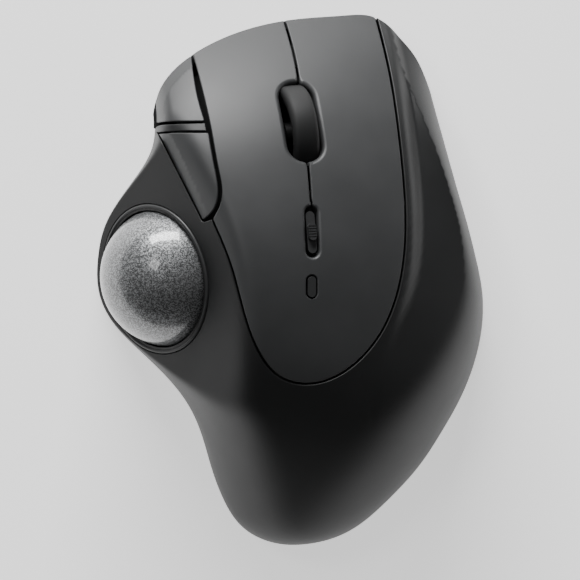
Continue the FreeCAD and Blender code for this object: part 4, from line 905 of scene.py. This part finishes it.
class Finish:
    """One procedural material, with a Principled shader at its end."""

    def __init__(self, name, **constants):
        self.material = bpy.data.materials.new(name)
        self.material.use_nodes = True
        self.tree = self.material.node_tree
        self.shader = self.tree.nodes["Principled BSDF"]
        self.place = self.node("ShaderNodeTexCoord", output="Object")
        for socket, value in constants.items():
            self.shader.inputs[socket.replace("_", " ")].default_value = value

    def node(self, kind, settings=None, inputs=None, output=0):
        made = self.tree.nodes.new(kind)
        for key, value in (settings or {}).items():
            setattr(made, key, value)
        for key, value in (inputs or {}).items():
            self.feed(made.inputs[key], value)
        return Value(self, made.outputs[output])

    def feed(self, socket, value):
        if isinstance(value, Value):
            self.tree.links.new(value.socket, socket)
        else:
            socket.default_value = value

    def noise(self, millimetres, detail=3.0, rough=0.55):
        """Noise from 0 to 1 whose features are about this wide."""
        return self.node("ShaderNodeTexNoise", None, {
            "Vector": self.place, "Scale": 1000.0 / millimetres, "Detail": detail,
            "Roughness": rough})

    def cells(self, millimetres, output="Color"):
        """A random grey for each cell about this wide."""
        return self.node("ShaderNodeTexVoronoi", None, {
            "Vector": self.place, "Scale": 1000.0 / millimetres}, output)

    def wear(self):
        """A mesh attribute named edge, broken up by noise; no piece in this script writes that attribute."""
        edge = self.node("ShaderNodeAttribute", {"attribute_name": "edge"}, None, "Fac")
        return edge * self.noise(1.6, 4.0).above(0.35, 0.7)

    def colour(self, share, low, high):
        """A blend of two colours."""
        mix = self.node("ShaderNodeMix", {"data_type": "RGBA"}, None, 2)
        inputs = mix.socket.node.inputs
        self.feed(inputs[0], share)
        inputs[6].default_value, inputs[7].default_value = (*low, 1.0), (*high, 1.0)
        return mix

    def done(self, colour=None, roughness=None, grain=None, depth=0.0, **others):
        if colour is not None:
            self.feed(self.shader.inputs["Base Color"], colour)
        if roughness is not None:
            self.feed(self.shader.inputs["Roughness"], roughness)
        if grain is not None:
            bump = self.node("ShaderNodeBump", None, {
                "Height": grain, "Strength": 1.0, "Distance": depth * MM})
            self.feed(self.shader.inputs["Normal"], bump)
        for socket, value in others.items():
            self.feed(self.shader.inputs[socket.replace("_", " ")], value)
        return self.material


def grey(level, tint=0.0):
    return (level, level * (1 + tint * 0.5), level * (1 + tint))


# %% [markdown]
# ## The finishes
#
# The casing is cut from tools with a spark-eroded grain, which is a fine random bump. The cover
# is sprayed satin grey over the same grain, so its colour has a slight cloud. Handling polishes
# the edges first, so they are a little smoother and lighter. The ball is cast resin full of tiny
# mirror flakes under a clear, polished skin, so its colour is random from flake to flake.

# %%
def moulded(name, level, tint=0.03, rough=0.5, grain_mm=0.16, depth=0.02, wear=0.5, specular=0.5):
    """Textured plastic: cloudy colour, a spark-eroded grain and polished edges."""
    f = Finish(name, Specular_IOR_Level=specular)
    cloud, worn = f.noise(14.0, 3.0), f.wear()
    share = cloud.above(0.25, 0.75) * 0.5 + worn * wear
    colour = f.colour(share, grey(level * 0.92, tint), grey(level * 1.18, tint))
    fine = f.noise(grain_mm, 2.0, 0.7)
    roughness = rough + (cloud - 0.5) * 0.12 + (fine - 0.5) * 0.1 - worn * 0.12
    return f.done(colour, roughness, fine, depth)


def ball_finish():
    f = Finish("ball", Coat_Weight=1.0, Coat_Roughness=0.03, Coat_IOR=1.5)
    flake = f.node("ShaderNodeSeparateColor", None, {"Color": f.cells(0.24)})
    cloud = f.noise(5.0)
    share = flake.above(0.2, 1.0) * 0.95 + cloud * 0.05
    colour = f.colour(share, grey(0.035, 0.05), grey(0.42, 0.04))
    return f.done(colour, 0.3 + flake * 0.25, Metallic=flake.above(0.2, 0.8) * 0.9)


def metal(name, level, rough, tint=0.0):
    """Drawn or turned metal: fine scratches and a slightly uneven shine."""
    f = Finish(name, Metallic=1.0)
    cloud, fine = f.noise(3.0, 4.0), f.noise(0.12, 3.0)
    colour = f.colour(cloud, grey(level * 0.85, tint), grey(level, tint))
    return f.done(colour, rough + cloud * 0.15, fine, 0.003)


def board_finish():
    f = Finish("board", Specular_IOR_Level=0.6)
    track = f.noise(2.4, 1.0).above(0.5, 0.53)
    # The boards' green is made very dark as painted shade, standing for the shade inside the body seen through
    # the cover's gaps. The tracks are a slightly lighter green.
    colour = f.colour(track, (0.002, 0.012, 0.006), (0.004, 0.024, 0.011))
    return f.done(colour, 0.32 + f.noise(6.0) * 0.12, track, 0.03)


def lens_finish():
    f = Finish("lens_clear", Transmission_Weight=0.9, IOR=1.5)
    return f.done(None, 0.05 + f.noise(1.0) * 0.08, f.noise(0.4), 0.001)


def sleeve_finish():
    """A printed sleeve: a band of colour round the middle, rubbed in places."""
    f = Finish("cell", Specular_IOR_Level=0.6)
    along = f.node("ShaderNodeSeparateXYZ", None, {0: f.place}, "Y")
    band = along.above(-0.045, -0.044)
    colour = f.colour(band, (0.36, 0.25, 0.08), (0.07, 0.075, 0.08))
    return f.done(colour, 0.3 + f.noise(2.0, 4.0) * 0.25, f.noise(0.5), 0.004)


FINISHES = {
    "grey_plate": moulded("grey_plate", 0.043, 0.06, 0.46, 0.2, 0.012, 0.7),
    "grey_button": moulded("grey_button", 0.043, 0.06, 0.46, 0.2, 0.012, 0.7),
    "black_shell": moulded("black_shell", 0.007, 0.12, 0.5, 0.24, 0.022, 0.4),
    "inner_plastic": moulded("inner_plastic", 0.01, 0.05, 0.45, 0.3, 0.01),
    "carrier_plastic": moulded("carrier_plastic", 0.12, 0.03, 0.45, 0.3, 0.01),
    "rubber": moulded("rubber", 0.012, 0.05, 0.62, 0.3, 0.015, 0.3, 0.35),
    "switch_body": moulded("switch_body", 0.04, 0.05, 0.4, 0.3, 0.008),
    "pad": moulded("pad", 0.05, 0.02, 0.25, 0.5, 0.004),
    "knob": moulded("knob", 0.03, 0.05, 0.4, 0.2, 0.01),
    "ball": ball_finish(),
    "steel": metal("steel", 0.62, 0.14),
    "spring": metal("spring", 0.6, 0.22),
    "screw": metal("screw", 0.09, 0.35),
    "board": board_finish(),
    "lens_clear": lens_finish(),
    "cell": sleeve_finish(),
}
print(len(FINISHES), "finishes")

# %% [markdown]
# ## Giving every piece its finish
#
# The pieces made above stand for the same pieces of the part, and ride on the same bodies. The
# other pieces keep their own shape. A small bevel rounds their corners, since no moulded or
# pressed piece has a sharp one.

# %%
def finish_of(obj, slot):
    obj.data.materials.clear()
    obj.data.materials.append(FINISHES[slot])


def stand_in(obj, body, slot, *nodes):
    """A piece of this script that takes the place of pieces of the part."""
    finish_of(obj, slot)
    if nodes:
        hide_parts(*nodes)
    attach(obj, body)


stand_in(shell, "casing", "black_shell", "main_shell")
stand_in(nose_wall, "casing", "black_shell")
stand_in(ledge, "casing", "inner_plastic")
stand_in(tongue, "casing", "grey_plate", "top_plate")
stand_in(left_button, "left_button", "grey_plate", "left_button")
stand_in(right_button, "right_button", "grey_plate", "right_button")
stand_in(forward_skin, "forward_button", "grey_button", "forward_button")
stand_in(back_skin, "back_button", "grey_button", "back_button")
stand_in(ball, "ball", "ball", "ball")
stand_in(rim, "casing", "knob")
stand_in(tyre, "wheel", "rubber", "wheel_tyre")
stand_in(hub, "wheel", "inner_plastic", "wheel_hub")

SLOTS = {
    "black_shell": ["base_shell", "battery_door"],
    "inner_plastic": ["plate_support", "ball_cup", "wheel_cradle", "wheel_press_frame",
                      "wheel_bracket"],
    "lens_clear": ["sensor_lens"],
    "switch_body": ["ball_sensor", "left_switch", "right_switch", "forward_switch",
                    "back_switch", "wheel_switch", "pill_switch", "mode_switch",
                    "power_switch"],
    "board": ["sensor_board", "main_board", "side_board", "upper_board"],
    "steel": ["wheel_axle", "contact_plate", "bearing_pin_1", "bearing_pin_2", "bearing_pin_3",
              "bearing_ring_1", "bearing_ring_2", "bearing_ring_3"],
    "carrier_plastic": ["bearing_carrier_1", "bearing_carrier_2", "bearing_carrier_3"],
    "knob": ["mode_slider", "pill_button", "power_slider"],
    "spring": ["wheel_spring", "contact_spring"],
    "cell": ["battery_cell"],
    "screw": ["base_screws"],
    "pad": ["glide_pads"],
}
CORNER = {"base_shell": 0.3, "mode_slider": 0.15,
          "pill_button": 0.2}


def softened(obj, width):
    """Joins the corners of a piece and rounds its edges."""
    weld = obj.modifiers.new("join", "WELD")
    weld.merge_threshold = 0.002 * MM
    bevel = obj.modifiers.new("round", "BEVEL")
    bevel.width, bevel.segments, bevel.limit_method = width * MM, 2, "ANGLE"
    bevel.angle_limit = math.radians(35)
    bevel.harden_normals = True


for slot, names in SLOTS.items():
    for name in names:
        finish_of(NODES[name], slot)
        if slot not in ("spring", "screw"):
            softened(NODES[name], CORNER.get(name, 0.12))

# %% [markdown]
# ## Floor, light and camera
#
# The mouse stands on a pale sheet. One broad light stands low in front of it, which is why the
# cover is bright at its nose and dark at the palm. The camera looks straight down.

# %%
def floor_finish():
    f = Finish("floor", Emission_Strength=1.0)
    soft = f.noise(120.0)
    colour = f.colour(soft, (0.93, 0.93, 0.93), (0.95, 0.95, 0.95))
    return f.done(colour, 0.7 + soft * 0.1, Emission_Color=colour)


floor_data = bpy.data.meshes.new("floor")
HALF = 3.0
FLOOR = -0.0002
floor_data.from_pydata([(x, y, FLOOR) for x, y in ((-HALF, -HALF), (HALF, -HALF), (HALF, HALF), (-HALF, HALF))],
                       [], [(0, 1, 2, 3)])
floor = bpy.data.objects.new("floor", floor_data)
bpy.context.scene.collection.objects.link(floor)
floor_data.materials.append(floor_finish())


def area_light(name, place, size, power, aim=(0, 0, 0.02)):
    light = bpy.data.lights.new(name, "AREA")
    light.shape, light.size, light.size_y, light.energy = "RECTANGLE", *size, power
    obj = bpy.data.objects.new(name, light)
    obj.location = place
    obj.rotation_euler = (Vector(aim) - Vector(place)).to_track_quat("-Z", "Y").to_euler()
    bpy.context.scene.collection.objects.link(obj)
    return obj


area_light("front_light", (-0.2, 1.15, 0.5), (0.9, 0.35), 29.0)
area_light("top_light", (-0.5, 0.35, 1.0), (0.3, 0.3), 1.6)

world = bpy.data.worlds.new("studio")
bpy.context.scene.world = world
world.use_nodes = True
world.node_tree.nodes["Background"].inputs["Color"].default_value = (1.0, 1.0, 1.0, 1.0)
world.node_tree.nodes["Background"].inputs["Strength"].default_value = 0.1

camera_data = bpy.data.cameras.new("camera")
camera_data.lens, camera_data.clip_end = 336.0, 10.0
camera = bpy.data.objects.new("camera", camera_data)
camera.location = (0.0, -0.0024, 1.4)
bpy.context.scene.collection.objects.link(camera)
bpy.context.scene.camera = camera
